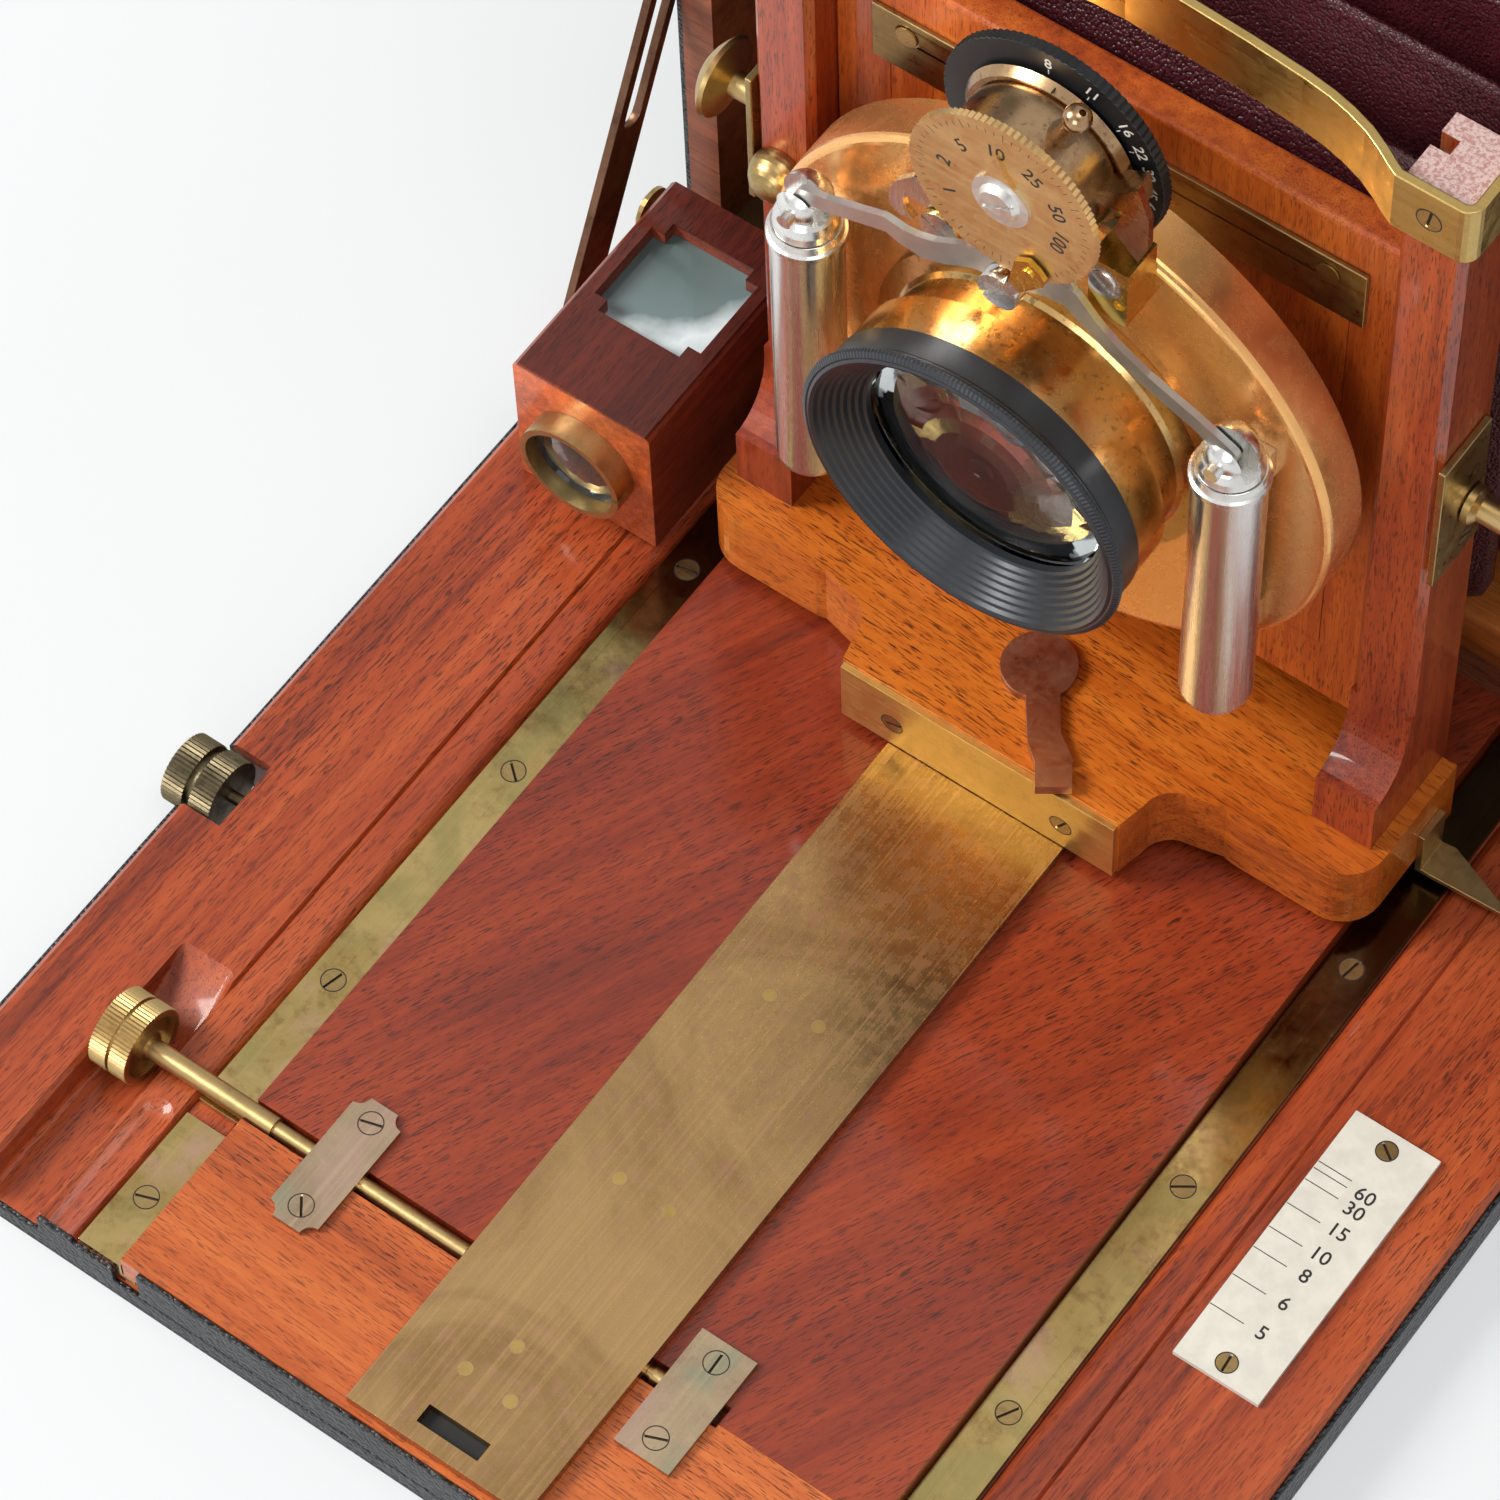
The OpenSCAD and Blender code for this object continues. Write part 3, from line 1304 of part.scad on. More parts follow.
// Stub that carries the dial, the brass block beside it, and the pivot screws of the levers
module dial_post() {
    block_y = drum_y - 8.1;
    color("goldenrod") place() {
        difference() {
            translate([0, 0, dial_z]) bar_y(stub_r, dial_y + dial_t + 0.3, scale_back_y + 0.01);
            translate([0, 0, dial_z]) bar_y(1.5 + fit, dial_y, scale_back_y + 1);
        }
        difference() {
            union() {
                block([13, block_y, pivot_z - 0.5], [20.5, drum_y + 0.03, pivot_z + 13]);
                translate([15.6, 0, pivot_z + 8.2]) bar_y(2.5, block_y - 0.25, block_y + 1);
            }
            translate([0, 0, dial_z]) bar_y(flange_r + 0.5, block_y - 1, drum_y + 1);
            translate([15.6, block_y - 1, pivot_z + 8.2]) rotate([0, 40, 0])
                cube([6, 2.6, 0.7], center = true);
            translate([18.9, 0, pivot_z + 4.2]) bar_y(1.1, block_y - 1, block_y + 0.5);
        }
        translate([release_x, 0, release_z]) {
            bar_y(1.4, drum_y - 6.2, drum_y + 0.03);
            difference() {
                bar_y(3.8, drum_y - 6.6, drum_y - 5.5);
                translate([0, drum_y - 6.8, 0]) rotate([0, 25, 0]) cube([9, 1.4, 0.8], center = true);
            }
        }
        translate([0, 0, pivot_z]) {
            bar_y(2, link_y - 0.5, drum_y + 0.03);
            difference() {
                bar_y(3.8, link_y - 3, link_y - 0.3);
                translate([0, link_y - 3, 0]) rotate([0, -35, 0]) cube([9, 1.6, 0.8], center = true);
            }
            along_y(link_y - 3.4, link_y - 2.4)
                polygon([[0.2, 3.6], [2, 3.5], [3.5, 12], [6, 13.6], [8, 12.4],
                [9.3, 10.7], [9, 9.1], [3.6, 3], [2.9, 1.8], [1.6, 2.2]]);
            translate([6.1, 0, 10.4]) bar_y(1.1, link_y - 3.8, link_y - 3);
        }
    }
}

release_x = -17.1;
release_z = lens_z + 40.1;

// Turret drum with its flange, which turns on the dial's stub: an index tail and a ball-headed lever
module iris_ring() {
    front = dial_y + dial_t + 0.9;
    color("goldenrod") place() {
        difference() {
            turned_y(0, dial_z) polygon([[1, front], [turret_r, front], [turret_r, drum_y - 2.4],
                [turret_r - 0.4, drum_y - 2.35], [turret_r - 0.4, drum_y - 1.9],
                    [turret_r + 1, drum_y - 1.8],
                [flange_r, drum_y - 0.3], [1, drum_y - 0.3]]);
            translate([0, 0, dial_z]) bar_y(stub_r + fit, front - 1, drum_y + 1);
        }
        translate([0, 0, dial_z]) {
            along_y(drum_y - 6.2, drum_y - 4.8)
                polygon([[17.9, 7.2], [20.3, 10], [22.6, 3.5], [22.7, -3.6],
                [20.9, -8.6], [16.1, -4], [17.8, 2.7]]);
            along_y(drum_y - 6.2, drum_y - 1) polygon([[13.6, 1], [13.4, 4.5], [19.2, 8.3], [20, 3]]);
            translate([0, drum_y - 6.1, 0]) rotate([0, 24, 0]) ball_lever();
        }
    }
}

// Collar, stem and ball on the turret drum, along +Z
module ball_lever() {
    ball_r = 2.45;
    difference() {
        union() {
            translate([0, 0, turret_r - 1]) cylinder(r = 2.3, h = 2.2, $fn = 32);
            translate([0, 0, turret_r]) cylinder(r = 1.3, h = 6, $fn = 24);
            translate([0, 0, turret_r + 7.2]) sphere(r = ball_r, $fn = 48);
        }
        translate([0, 0, turret_r + 7.2]) cylinder(r = 0.6, h = 5, $fn = 16);
    }
}

module speed_dial() {
    color("darkkhaki") place() translate([0, dial_y + dial_t, dial_z]) rotate([90, 0, 0]) {
        milled_disc(dial_r + 0.6, dial_t, 90, 0.35);
        translate([0, 0, -6]) cylinder(r = 1.5, h = 6.1, $fn = 32);
        translate([0, 0, dial_t - 0.1]) cylinder(r = 5.4, h = 0.7, $fn = 48);
        translate([0, 0, dial_t - 0.1]) linear_extrude(0.7)
            polygon([[-3.6, 3.4], [-1.7, 8.2], [-2.1, 8.4],
            [-0.8, 11.3], [0.6, 8.4], [0.2, 8.2], [3.2, 4]]);
        difference() {
            translate([0, 0, dial_t + 0.5]) cylinder(r1 = 3.9, r2 = 3.1, h = 1.3, $fn = 48);
            translate([0, 0, dial_t + 1.7]) rotate([0, 0, 30]) cube([9, 0.7, 1], center = true);
        }
    }
}

// Air cylinders and the brackets that hold them on the drum
module air_cylinders() {
    color("silver") place() for (side = [0, 1]) mirror([side, 0, 0]) translate([cyl_x, cyl_y, 0])
        difference() {
        union() {
            translate([0, 0, cyl_low]) rotate_extrude($fn = 64) polygon(concat(
                [[0, -4.4], [1.6, -4.4], [1.9, -3.2]], arc(cyl_r - 3, 0, 3, -90, 0, 4),
                [[cyl_r, cyl_high - cyl_low - 3.4], [cyl_r + 0.5, cyl_high - cyl_low - 3.1],
                    [cyl_r + 0.5, cyl_high - cyl_low - 1.9], [cyl_r, cyl_high - cyl_low - 1.6],
                    [cyl_r - 0.3, cyl_high - cyl_low], [0, cyl_high - cyl_low]]));
            for (z = [lens_z - 26, lens_z + 18]) block([-3, cyl_r - 1.5, z - 4],
                [3, drum_y - cyl_y, z + 4]);
        }
        translate([0, 0, cyl_high - 40]) cylinder(r = 2.2 + fit, h = 60, $fn = 32);
    }
}

// Piston rod with the cylinder's domed cap, and the slotted ball that takes the link
module piston(rise) {
    z = clevis_z + rise;
    color("silver") place() translate([cyl_x, cyl_y, 0]) difference() {
        union() {
            translate([0, 0, cyl_high - 30]) cylinder(r = 2.2, h = z - cyl_high + 28, $fn = 32);
            translate([0, 0, cyl_high + 0.2]) rotate_extrude($fn = 48)
                polygon(concat([[0, 0], [cyl_r - 0.6, 0]],
                arc(0, 0, cyl_r - 0.6, 15, 90, 5)));
            translate([0, 0, z]) sphere(r = clevis_r, $fn = 64);
            translate([0, 0, z]) bar_y(1.4, -clevis_r - 1.5, clevis_slot[0] - 0.2);
        }
        block([-9, clevis_slot[0], z - 2.6], [9, clevis_slot[1], z + 9]);
    }
}

clevis_slot = [link_y - cyl_y - 0.3, link_y - cyl_y + 2 * link_t + 0.5];
rise_left = 1.1;
rise_right = -1;

module piston_left() {
    mirror([1, 0, 0]) piston(rise_left);
}

module piston_right() {
    piston(rise_right);
}

// A flat link between two points in X and Z, with round ends
module link_bar(points, widths, y0, y1) {
    for (i = [0:len(points) - 2]) along_y(y0, y1) {
        let (a = points[i], b = points[i + 1], u = (b - a) / norm(b - a), n = [-u[1], u[0]])
            polygon([a + n * widths[i], a - n * widths[i], b - n * widths[i + 1], b + n * widths[i + 1]]);
    }
    for (i = [0:len(points) - 1]) translate([points[i][0], 0, points[i][1]]) bar_y(widths[i], y0, y1);
}

module link_left() {
    y0 = link_y;
    color("silver") place() difference() {
        link_bar([[-cyl_x, clevis_z + rise_left], [-40.3, pivot_z - 9.2], [-35.7, pivot_z - 8.2],
            [-28.4, pivot_z - 5.6], [-24.1, pivot_z - 4], [-20.5, pivot_z - 4.9], [-17.2, pivot_z - 4.8],
            [-13.5, pivot_z - 3.4], [-8.3, pivot_z - 0.1], [-4.4, pivot_z + 1.2], [0, pivot_z]],
            [1.7, 1.7, 1.7, 1.7, 1.8, 2.2, 2.5, 2.5, 2.5, 2.8, 3.6], y0, y0 + link_t);
        translate([0, 0, pivot_z]) bar_y(2 + fit, y0 - 1, y0 + link_t + 1);
    }
}

module link_right() {
    y0 = link_y + link_t + 0.2;
    color("silver") place() difference() {
        union() {
            link_bar([[cyl_x, clevis_z + rise_right], [34.9, pivot_z - 12.4], [25.4, pivot_z - 8.6],
                [19, pivot_z - 5.1], [14.4, pivot_z - 1.6], [10.6, pivot_z + 1.9], [5.8, pivot_z + 1.7],
                [0, pivot_z]], [1.7, 1.6, 1.62, 1.7, 2, 2.6, 3, 3.6], y0, y0 + link_t);
            along_y(y0 + 0.1, y0 + link_t - 0.1) polygon([[3.4, pivot_z + 3.2], [10.9, pivot_z + 6.3],
                [12.5, pivot_z + 2.9], [8.5, pivot_z + 0.3]]);
        }
        translate([0, 0, pivot_z]) bar_y(2 + fit, y0 - 1, y0 + link_t + 1);
    }
}

// Hooked release lever on its own pivot screw
module release_lever() {
    y = drum_y - 5.2;
    color("silver") place() translate([release_x, 0, release_z]) difference() {
        union() {
            bar_y(3.3, y, y + 1.4);
            along_y(y, y + 1.4) polygon([[0.6, 3.2], [-2.5, 5.1], [-4.5, 8.1], [-5.8, 8.7], [-9.6, 4.5],
                [-11, 0.8], [-10.7, -2.2], [-8.8, -3.7], [-6, -3.4], [-7.8, -1.5], [-8.1, 1.3],
                    [-6.3, 2.9],
                [-3.2, 2.1], [-1.5, -2.7]]);
        }
        bar_y(1.4 + fit, y - 1, y + 3);
    }
}

box_case();
box_leather();
box_floor();
case_fittings();
back_frame();
handle_strap();
bellows();
latch_button();
glass_frame();
ground_glass();
glass_springs();
bed_floor();
bed_side_left();
bed_side_right();
bed_leather();
bed_rails();
bed_fittings();
focus_scale();
finder_box();
finder_lens_ring();
finder_glass();
edge_wheel();
strut_left();
strut_right();
inner_board();
front_cleat();
board_leather();
board_rack();
rod_plates();
pinion_rod();
focus_knob();
track_plate();
standard_base();
base_strip();
post_left();
post_right();
post_yoke();
standard_screws();
scale_pointer();
lock_plates();
clamp_lever();
lock_knob_left();
lock_knob_right();
panel_frame();
lens_board();
board_retainer();
shutter_drum();
lens_barrel();
lens_hood();
lens_glass();
aperture_scale();
dial_post();
iris_ring();
speed_dial();
air_cylinders();
piston_left();
piston_right();
link_left();
link_right();
release_lever();
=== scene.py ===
import math

import bmesh
import bpy
import numpy as np
from mathutils import Matrix, Vector


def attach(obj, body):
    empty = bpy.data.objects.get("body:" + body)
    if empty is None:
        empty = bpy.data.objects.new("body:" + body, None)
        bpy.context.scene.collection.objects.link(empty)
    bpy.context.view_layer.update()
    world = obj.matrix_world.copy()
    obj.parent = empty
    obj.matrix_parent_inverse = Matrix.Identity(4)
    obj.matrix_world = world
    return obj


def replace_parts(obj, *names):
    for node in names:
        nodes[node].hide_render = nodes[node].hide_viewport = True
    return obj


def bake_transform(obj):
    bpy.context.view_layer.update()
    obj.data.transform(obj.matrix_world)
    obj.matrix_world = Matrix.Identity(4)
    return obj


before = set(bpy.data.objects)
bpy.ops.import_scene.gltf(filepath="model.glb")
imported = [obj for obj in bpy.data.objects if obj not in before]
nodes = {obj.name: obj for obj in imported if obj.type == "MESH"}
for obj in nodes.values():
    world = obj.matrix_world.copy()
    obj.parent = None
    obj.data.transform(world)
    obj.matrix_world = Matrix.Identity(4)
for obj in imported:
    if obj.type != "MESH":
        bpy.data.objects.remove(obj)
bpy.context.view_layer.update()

# Sizes are millimetres, as in the CAD source, with y counted back from the bed's front edge
FRONT = 185.25                          # how far the middle of the object is from that edge
LENS_Z, DIAL_Z = 121.0, 191.0           # axes of the lens and of the turret
RAIL_TOP, BED_TOP, PLATE_TOP, TRACK_TOP = 11.3, 13.4, 15.7, 17.0
UP, FORE = (0, 0, 1), (0, -1, 0)


def at(x, y, z):
    """A point given in millimetres, in the object's frame in metres."""
    return Vector((x / 1000, (y - FRONT) / 1000, z / 1000))


def lin(r, g, b):
    """Linear colour from sRGB numbers of 0 to 255."""
    return tuple(((c / 255 + 0.055) / 1.055) ** 2.4 if c > 10 else c / 255 / 12.92 for c in (r, g, b))


def link(name, data):
    """A new object in the scene."""
    obj = bpy.data.objects.new(name, data)
    bpy.context.scene.collection.objects.link(obj)
    return obj


# Materials

class Nodes:
    """Short calls for the nodes of one tree."""

    def __init__(self, tree):
        self.t = tree
        self.t.nodes.clear()
        self.co = self.node("TexCoord")

    def feed(self, node, key, v):
        """Links a socket to an input, or sets its value."""
        s = node.inputs[key]
        if isinstance(v, bpy.types.NodeSocket):
            self.t.links.new(v, s)
        elif isinstance(v, tuple) and len(v) == 3 and s.type == "RGBA":
            s.default_value = (*v, 1)
        else:
            s.default_value = v

    def node(self, kind, inputs=None, **settings):
        n = self.t.nodes.new("ShaderNode" + kind)
        for key, v in settings.items():
            setattr(n, key, v)
        for key, v in (inputs or {}).items():
            self.feed(n, key, v)
        return n

    def vec(self, scale=(1, 1, 1), rot=(0, 0, 0), loc=(0, 0, 0), src=None):
        """Object coordinates, moved and scaled."""
        return self.node("Mapping", {"Vector": src or self.co.outputs["Object"], "Scale": scale,
                                     "Rotation": rot, "Location": loc}).outputs[0]

    def noise(self, v, scale=1.0, detail=4.0, rough=0.55, distort=0.0):
        return self.node("TexNoise", {"Vector": v, "Scale": scale, "Detail": detail, "Roughness": rough,
                                      "Distortion": distort}).outputs["Fac"]

    def cells(self, v, scale):
        return self.node("TexVoronoi", {"Vector": v, "Scale": scale}).outputs["Distance"]

    def ramp(self, f, stops):
        """Colours, or greys given by one number, at positions from 0 to 1."""
        n = self.node("ValToRGB", {0: f})
        while len(n.color_ramp.elements) < len(stops):
            n.color_ramp.elements.new(0.5)
        for e, (x, c) in zip(n.color_ramp.elements, stops):
            e.position = x
            e.color = (*c, 1) if isinstance(c, tuple) else (c, c, c, 1)
        return n.outputs[0]

    def mix(self, f, a, b, mode="MIX"):
        return self.node("Mix", data_type="RGBA", blend_type=mode, inputs={0: f, 6: a, 7: b}).outputs[2]

    def math(self, op, a, b=0.0, clamp=False):
        return self.node("Math", {0: a, 1: b}, operation=op, use_clamp=clamp).outputs[0]

    def span(self, v, a, b, c=0.0, d=1.0):
        """Maps a to b onto c to d, held at both ends."""
        return self.node("MapRange", {0: v, 1: a, 2: b, 3: c, 4: d}, clamp=True).outputs[0]

    def axis(self, name, kind="Object"):
        return self.node("SeparateXYZ", {0: self.co.outputs[kind]}).outputs["XYZ".index(name)]

    def away(self, centre):
        """Distance from a point of the object."""
        return self.node("VectorMath", {0: self.co.outputs["Object"], 1: tuple(centre)},
                         operation="DISTANCE").outputs["Value"]

    def rays(self):
        """1 for what the camera sees straight, and 1 for what it sees in metal, varnish or glass."""
        path = self.node("LightPath")
        mirrored = self.math("MAXIMUM", path.outputs["Is Glossy Ray"], path.outputs["Is Transmission Ray"])
        return path.outputs["Is Camera Ray"], mirrored


class Paint(Nodes):
    """One procedural material: a principled shader and what feeds it."""

    def __init__(self, name):
        self.m = bpy.data.materials.new(name)
        self.m.use_nodes = True
        super().__init__(self.m.node_tree)
        self.p = self.node("BsdfPrincipled")
        self.out = self.node("OutputMaterial", {0: self.p.outputs[0]})

    def set(self, **values):
        for key, v in values.items():
            self.feed(self.p, key.replace("_", " "), v)

    def bump(self, height, strength, distance):
        n = self.node("Bump", {"Strength": strength, "Distance": distance, "Height": height})
        self.feed(self.p, "Normal", n.outputs[0])

    def colour(self):
        """The socket that gives the colour so far."""
        return self.p.inputs["Base Color"].links[0].from_socket


def stretched(axis, across, length):
    """Noise scales for a pattern that runs along one axis."""
    v = [across] * 3
    v["XYZ".index(axis)] = length
    return tuple(v)


def wood(name, dark, mid, light, along="Y", pores=1.0, figure=0.4, tilt=0.0, seed=0.0, coat=0.5, rough=0.42):
    """Polished mahogany: broad colour bands, fine streaks and short dark pores along one axis.

    pores is how dark the pores are, figure how strong the bands, and tilt turns the grain by an angle.
    """
    k = Paint(name)
    dark, mid, light = (lin(*c) for c in (dark, mid, light))
    rot = (0.0, tilt, 0.0) if along == "Z" else (0.0, 0.0, tilt)
    base = k.vec(rot=rot, loc=(seed, seed * 0.7, seed * 1.3))

    def grain(across, length):
        return k.vec(scale=stretched(along, across, length), src=base)

    broad = k.noise(grain(46, 6), 1, 3, 0.5, 0.8)
    streak = k.noise(grain(520, 22), 1, 5, 0.62, 0.3)
    fleck = k.noise(grain(3600, 330), 1, 2, 0.5, 0.3)
    fleck2 = k.noise(k.vec(loc=(3.1, 1.7, 0.4), src=grain(2600, 190)), 1, 1, 0.4)
    tone = k.math("ADD", k.math("MULTIPLY", broad, 0.42 + figure * 0.45),
                  k.math("MULTIPLY", streak, 0.62 - figure * 0.35))
    colour = k.ramp(tone, [(0.34, dark), (0.50, mid), (0.68, light)])
    patch = k.span(k.noise(grain(40, 10), 1, 2), 0.3, 0.62, 0.45, 1.0)
    pore = k.math("MAXIMUM", k.span(fleck, 0.575, 0.65), k.math("MULTIPLY", k.span(fleck2, 0.62, 0.68), 0.8))
    pore = k.math("MULTIPLY", pore, patch)
    pore_colour = tuple(c * 0.22 for c in dark)
    colour = k.mix(k.math("MULTIPLY", pore, min(1.0, 0.72 * pores)), colour, pore_colour)
    k.set(Base_Color=colour, Roughness=rough, Coat_Weight=coat, Coat_Roughness=0.09, Coat_IOR=1.4,
          Specular_IOR_Level=0.3)
    k.bump(k.math("SUBTRACT", k.math("MULTIPLY", streak, 0.15), pore), 0.16, 0.0002)
    return k


def end_grain(k, height):
    """Pale speckled end grain above a height in metres."""
    spots = k.span(k.noise(k.vec(), 1400, 3, 0.7), 0.42, 0.56)
    pale = k.mix(spots, lin(176, 128, 120), lin(206, 180, 174))
    k.set(Base_Color=k.mix(k.span(k.axis("Z"), height, height + 0.0002), k.colour(), pale))


def face_tone(k, axis, a, b, tint):
    """Multiplies the colour by a tint, which comes in from a to b along an axis."""
    old = k.colour()
    k.set(Base_Color=k.mix(k.span(k.axis(axis), a, b), old, k.mix(1.0, old, tint, "MULTIPLY")))


def brass(name, clean, worn, tarnish, along=None, rough=0.28, wear=0.5, scratch=1.0, seed=0.0, mark=0.5,
          spots=0.0, stain=None, accents=(), rear_darkening=None, satin=None, metal=1.0):
    """Metal with tarnish clouds, fine rubbing marks and small scratches.

    wear, mark and spots say how strongly worn and tarnished places show, and scratch how deep the marks are.
    stain is two more tints, accents are steel parts as centre and radius in mm, rear_darkening is where along y
    the colour begins to darken towards the back and where it is full, and its tint, and satin is the roughness of
    fine upright streaks, from low to high.
    """
    k = Paint(name)
    clean, worn, tarnish = (lin(*c) for c in (clean, worn, tarnish))
    base = k.vec(loc=(seed, seed * 1.7, seed * 0.6))
    cloud = k.noise(base, 30, 6, 0.62, 1.2)
    fine = k.noise(base, 300, 6, 0.7)
    if along:
        rub = k.noise(k.vec(scale=stretched(along, 1700.0, 14.0), src=base), 1, 3, 0.6)
    else:
        rub = k.noise(base, 1100, 3, 0.6)
    c = k.mix(k.span(cloud, 0.40, 0.62, 0.0, wear), clean, worn)
    c = k.mix(k.math("MULTIPLY", k.span(fine, 0.50, 0.66), k.span(cloud, 0.36, 0.58, 0.2, mark)), c, tarnish)
    if stain:
        tint = k.noise(k.vec(loc=(seed + 5, 2, 1)), 52, 3, 0.5, 0.6)
        c = k.mix(k.span(tint, 0.52, 0.66, 0.0, 0.75), c, lin(*stain[0]))
        c = k.mix(k.span(tint, 0.46, 0.36, 0.0, 0.7), c, lin(*stain[1]))
    if spots:
        c = k.mix(k.span(k.noise(base, 760, 3, 0.6), 0.60, 0.66, 0.0, spots), c, tarnish)
    nick = k.noise(k.vec(scale=(260, 260, 260), rot=(0.3, 0.2, 0.55), loc=(seed, 0, 0)), 1, 2, 0.5, 3.0)
    line = k.span(k.math("ABSOLUTE", k.math("SUBTRACT", nick, 0.5)), 0.006, 0.0, 0.0, 0.35 * scratch)
    c = k.mix(line, c, tuple(min(1, x * 1.5) for x in clean))
    rubbed = k.math("MULTIPLY", k.span(rub, 0.5, 0.72), 0.3 * scratch)
    c = k.mix(rubbed, c, tuple(min(1, x * 1.3) for x in clean))
    # darker towards the back: the colour turns to a dark tint from the first y to the full one
    if rear_darkening:
        first, full, tint = rear_darkening
        y = k.math("ADD", k.axis("Y"), k.span(k.noise(base, 60, 5, 0.7), 0.3, 0.7, -0.022, 0.022))
        c = k.mix(k.span(y, at(0, first, 0).y, at(0, full, 0).y, 0.0, 0.85), c, lin(*tint))
    for centre, radius in accents:
        c = k.mix(k.span(k.away(at(*centre)), radius / 1000, radius / 1000 + 0.0003, 1.0, 0.0), c, STEEL)
    if satin:
        r = k.span(k.noise(k.vec(scale=(900, 900, 26)), 1, 3, 0.6), 0.3, 0.7, *satin)
    else:
        r = k.math("ADD", k.span(fine, 0.3, 0.7, rough - 0.06, rough + 0.12),
                   k.math("MULTIPLY", k.math("SUBTRACT", rub, 0.5), 0.24 * scratch), clamp=True)
    k.set(Base_Color=c, Metallic=metal, Roughness=r)
    k.bump(k.math("ADD", rub, k.math("MULTIPLY", fine, 0.6)), 0.05 * scratch, 0.0001)
    return k


def leather(name, colour, light, scale=1100.0, depth=0.8, rough=0.42, distance=0.0006, gloss=0.5):
    """Grained leather: small pebbles with creases between them, and a painted highlight on the pebble tops."""
    k = Paint(name)
    v = k.vec()
    warp = k.noise(v, 60, 3, 0.6)
    cell = k.cells(v, scale)
    big = k.cells(v, scale * 0.55)
    fine = k.noise(v, scale * 2.1, 3, 0.6)
    pebble = k.math("SUBTRACT", 1.0, k.math("MULTIPLY", cell, cell))
    h = k.math("ADD", pebble, k.math("MULTIPLY", k.math("SUBTRACT", 1.0, big), 0.5))
    h = k.math("ADD", h, k.math("MULTIPLY", fine, 0.2))
    # the paler colour is a painted highlight on the pebble tops, mixed with a random mottle
    tone = k.math("ADD", k.math("MULTIPLY", warp, 0.5), k.math("MULTIPLY", k.math("SUBTRACT", 1.0, cell), 0.5))
    k.set(Base_Color=k.mix(k.span(tone, 0.35, 0.75), lin(*colour), lin(*light)),
          Roughness=k.span(fine, 0.3, 0.7, rough - 0.08, rough + 0.1), Specular_IOR_Level=gloss)
    k.bump(h, depth, distance)
    return k


def simple(name, colour, **values):
    """One colour with a slight mottle and an uneven surface."""
    k = Paint(name)
    n = k.noise(k.vec(), 240, 4, 0.6)
    colour = lin(*colour)
    dark = tuple(c * 0.88 for c in colour)
    k.set(Base_Color=k.mix(k.span(n, 0.35, 0.65), dark, colour), **values)
    k.bump(n, 0.05, 0.0002)
    return k


def glass(name, colour=(0.86, 0.93, 0.92), rough=0.0):
    """Clear or frosted glass: its colour is linear."""
    k = Paint(name)
    n = k.noise(k.vec(), 60, 3, 0.6)
    k.set(Base_Color=colour, Roughness=k.span(n, 0.4, 0.7, rough, rough + 0.02), Transmission_Weight=1.0, IOR=1.5)
    return k


STEEL = lin(228, 226, 222)
BALLS = (((16.6, 170.9, 211.4), 4.7), ((15.2, 174.0, 209.6), 2.7))       # the ends of the iris lever
SCREWS_OF_BLOCK = (((15.6, 171.0, 175.2), 3.6), ((-17.1, 168, 161.1), 6.2), ((0, 166, 167), 6.2))

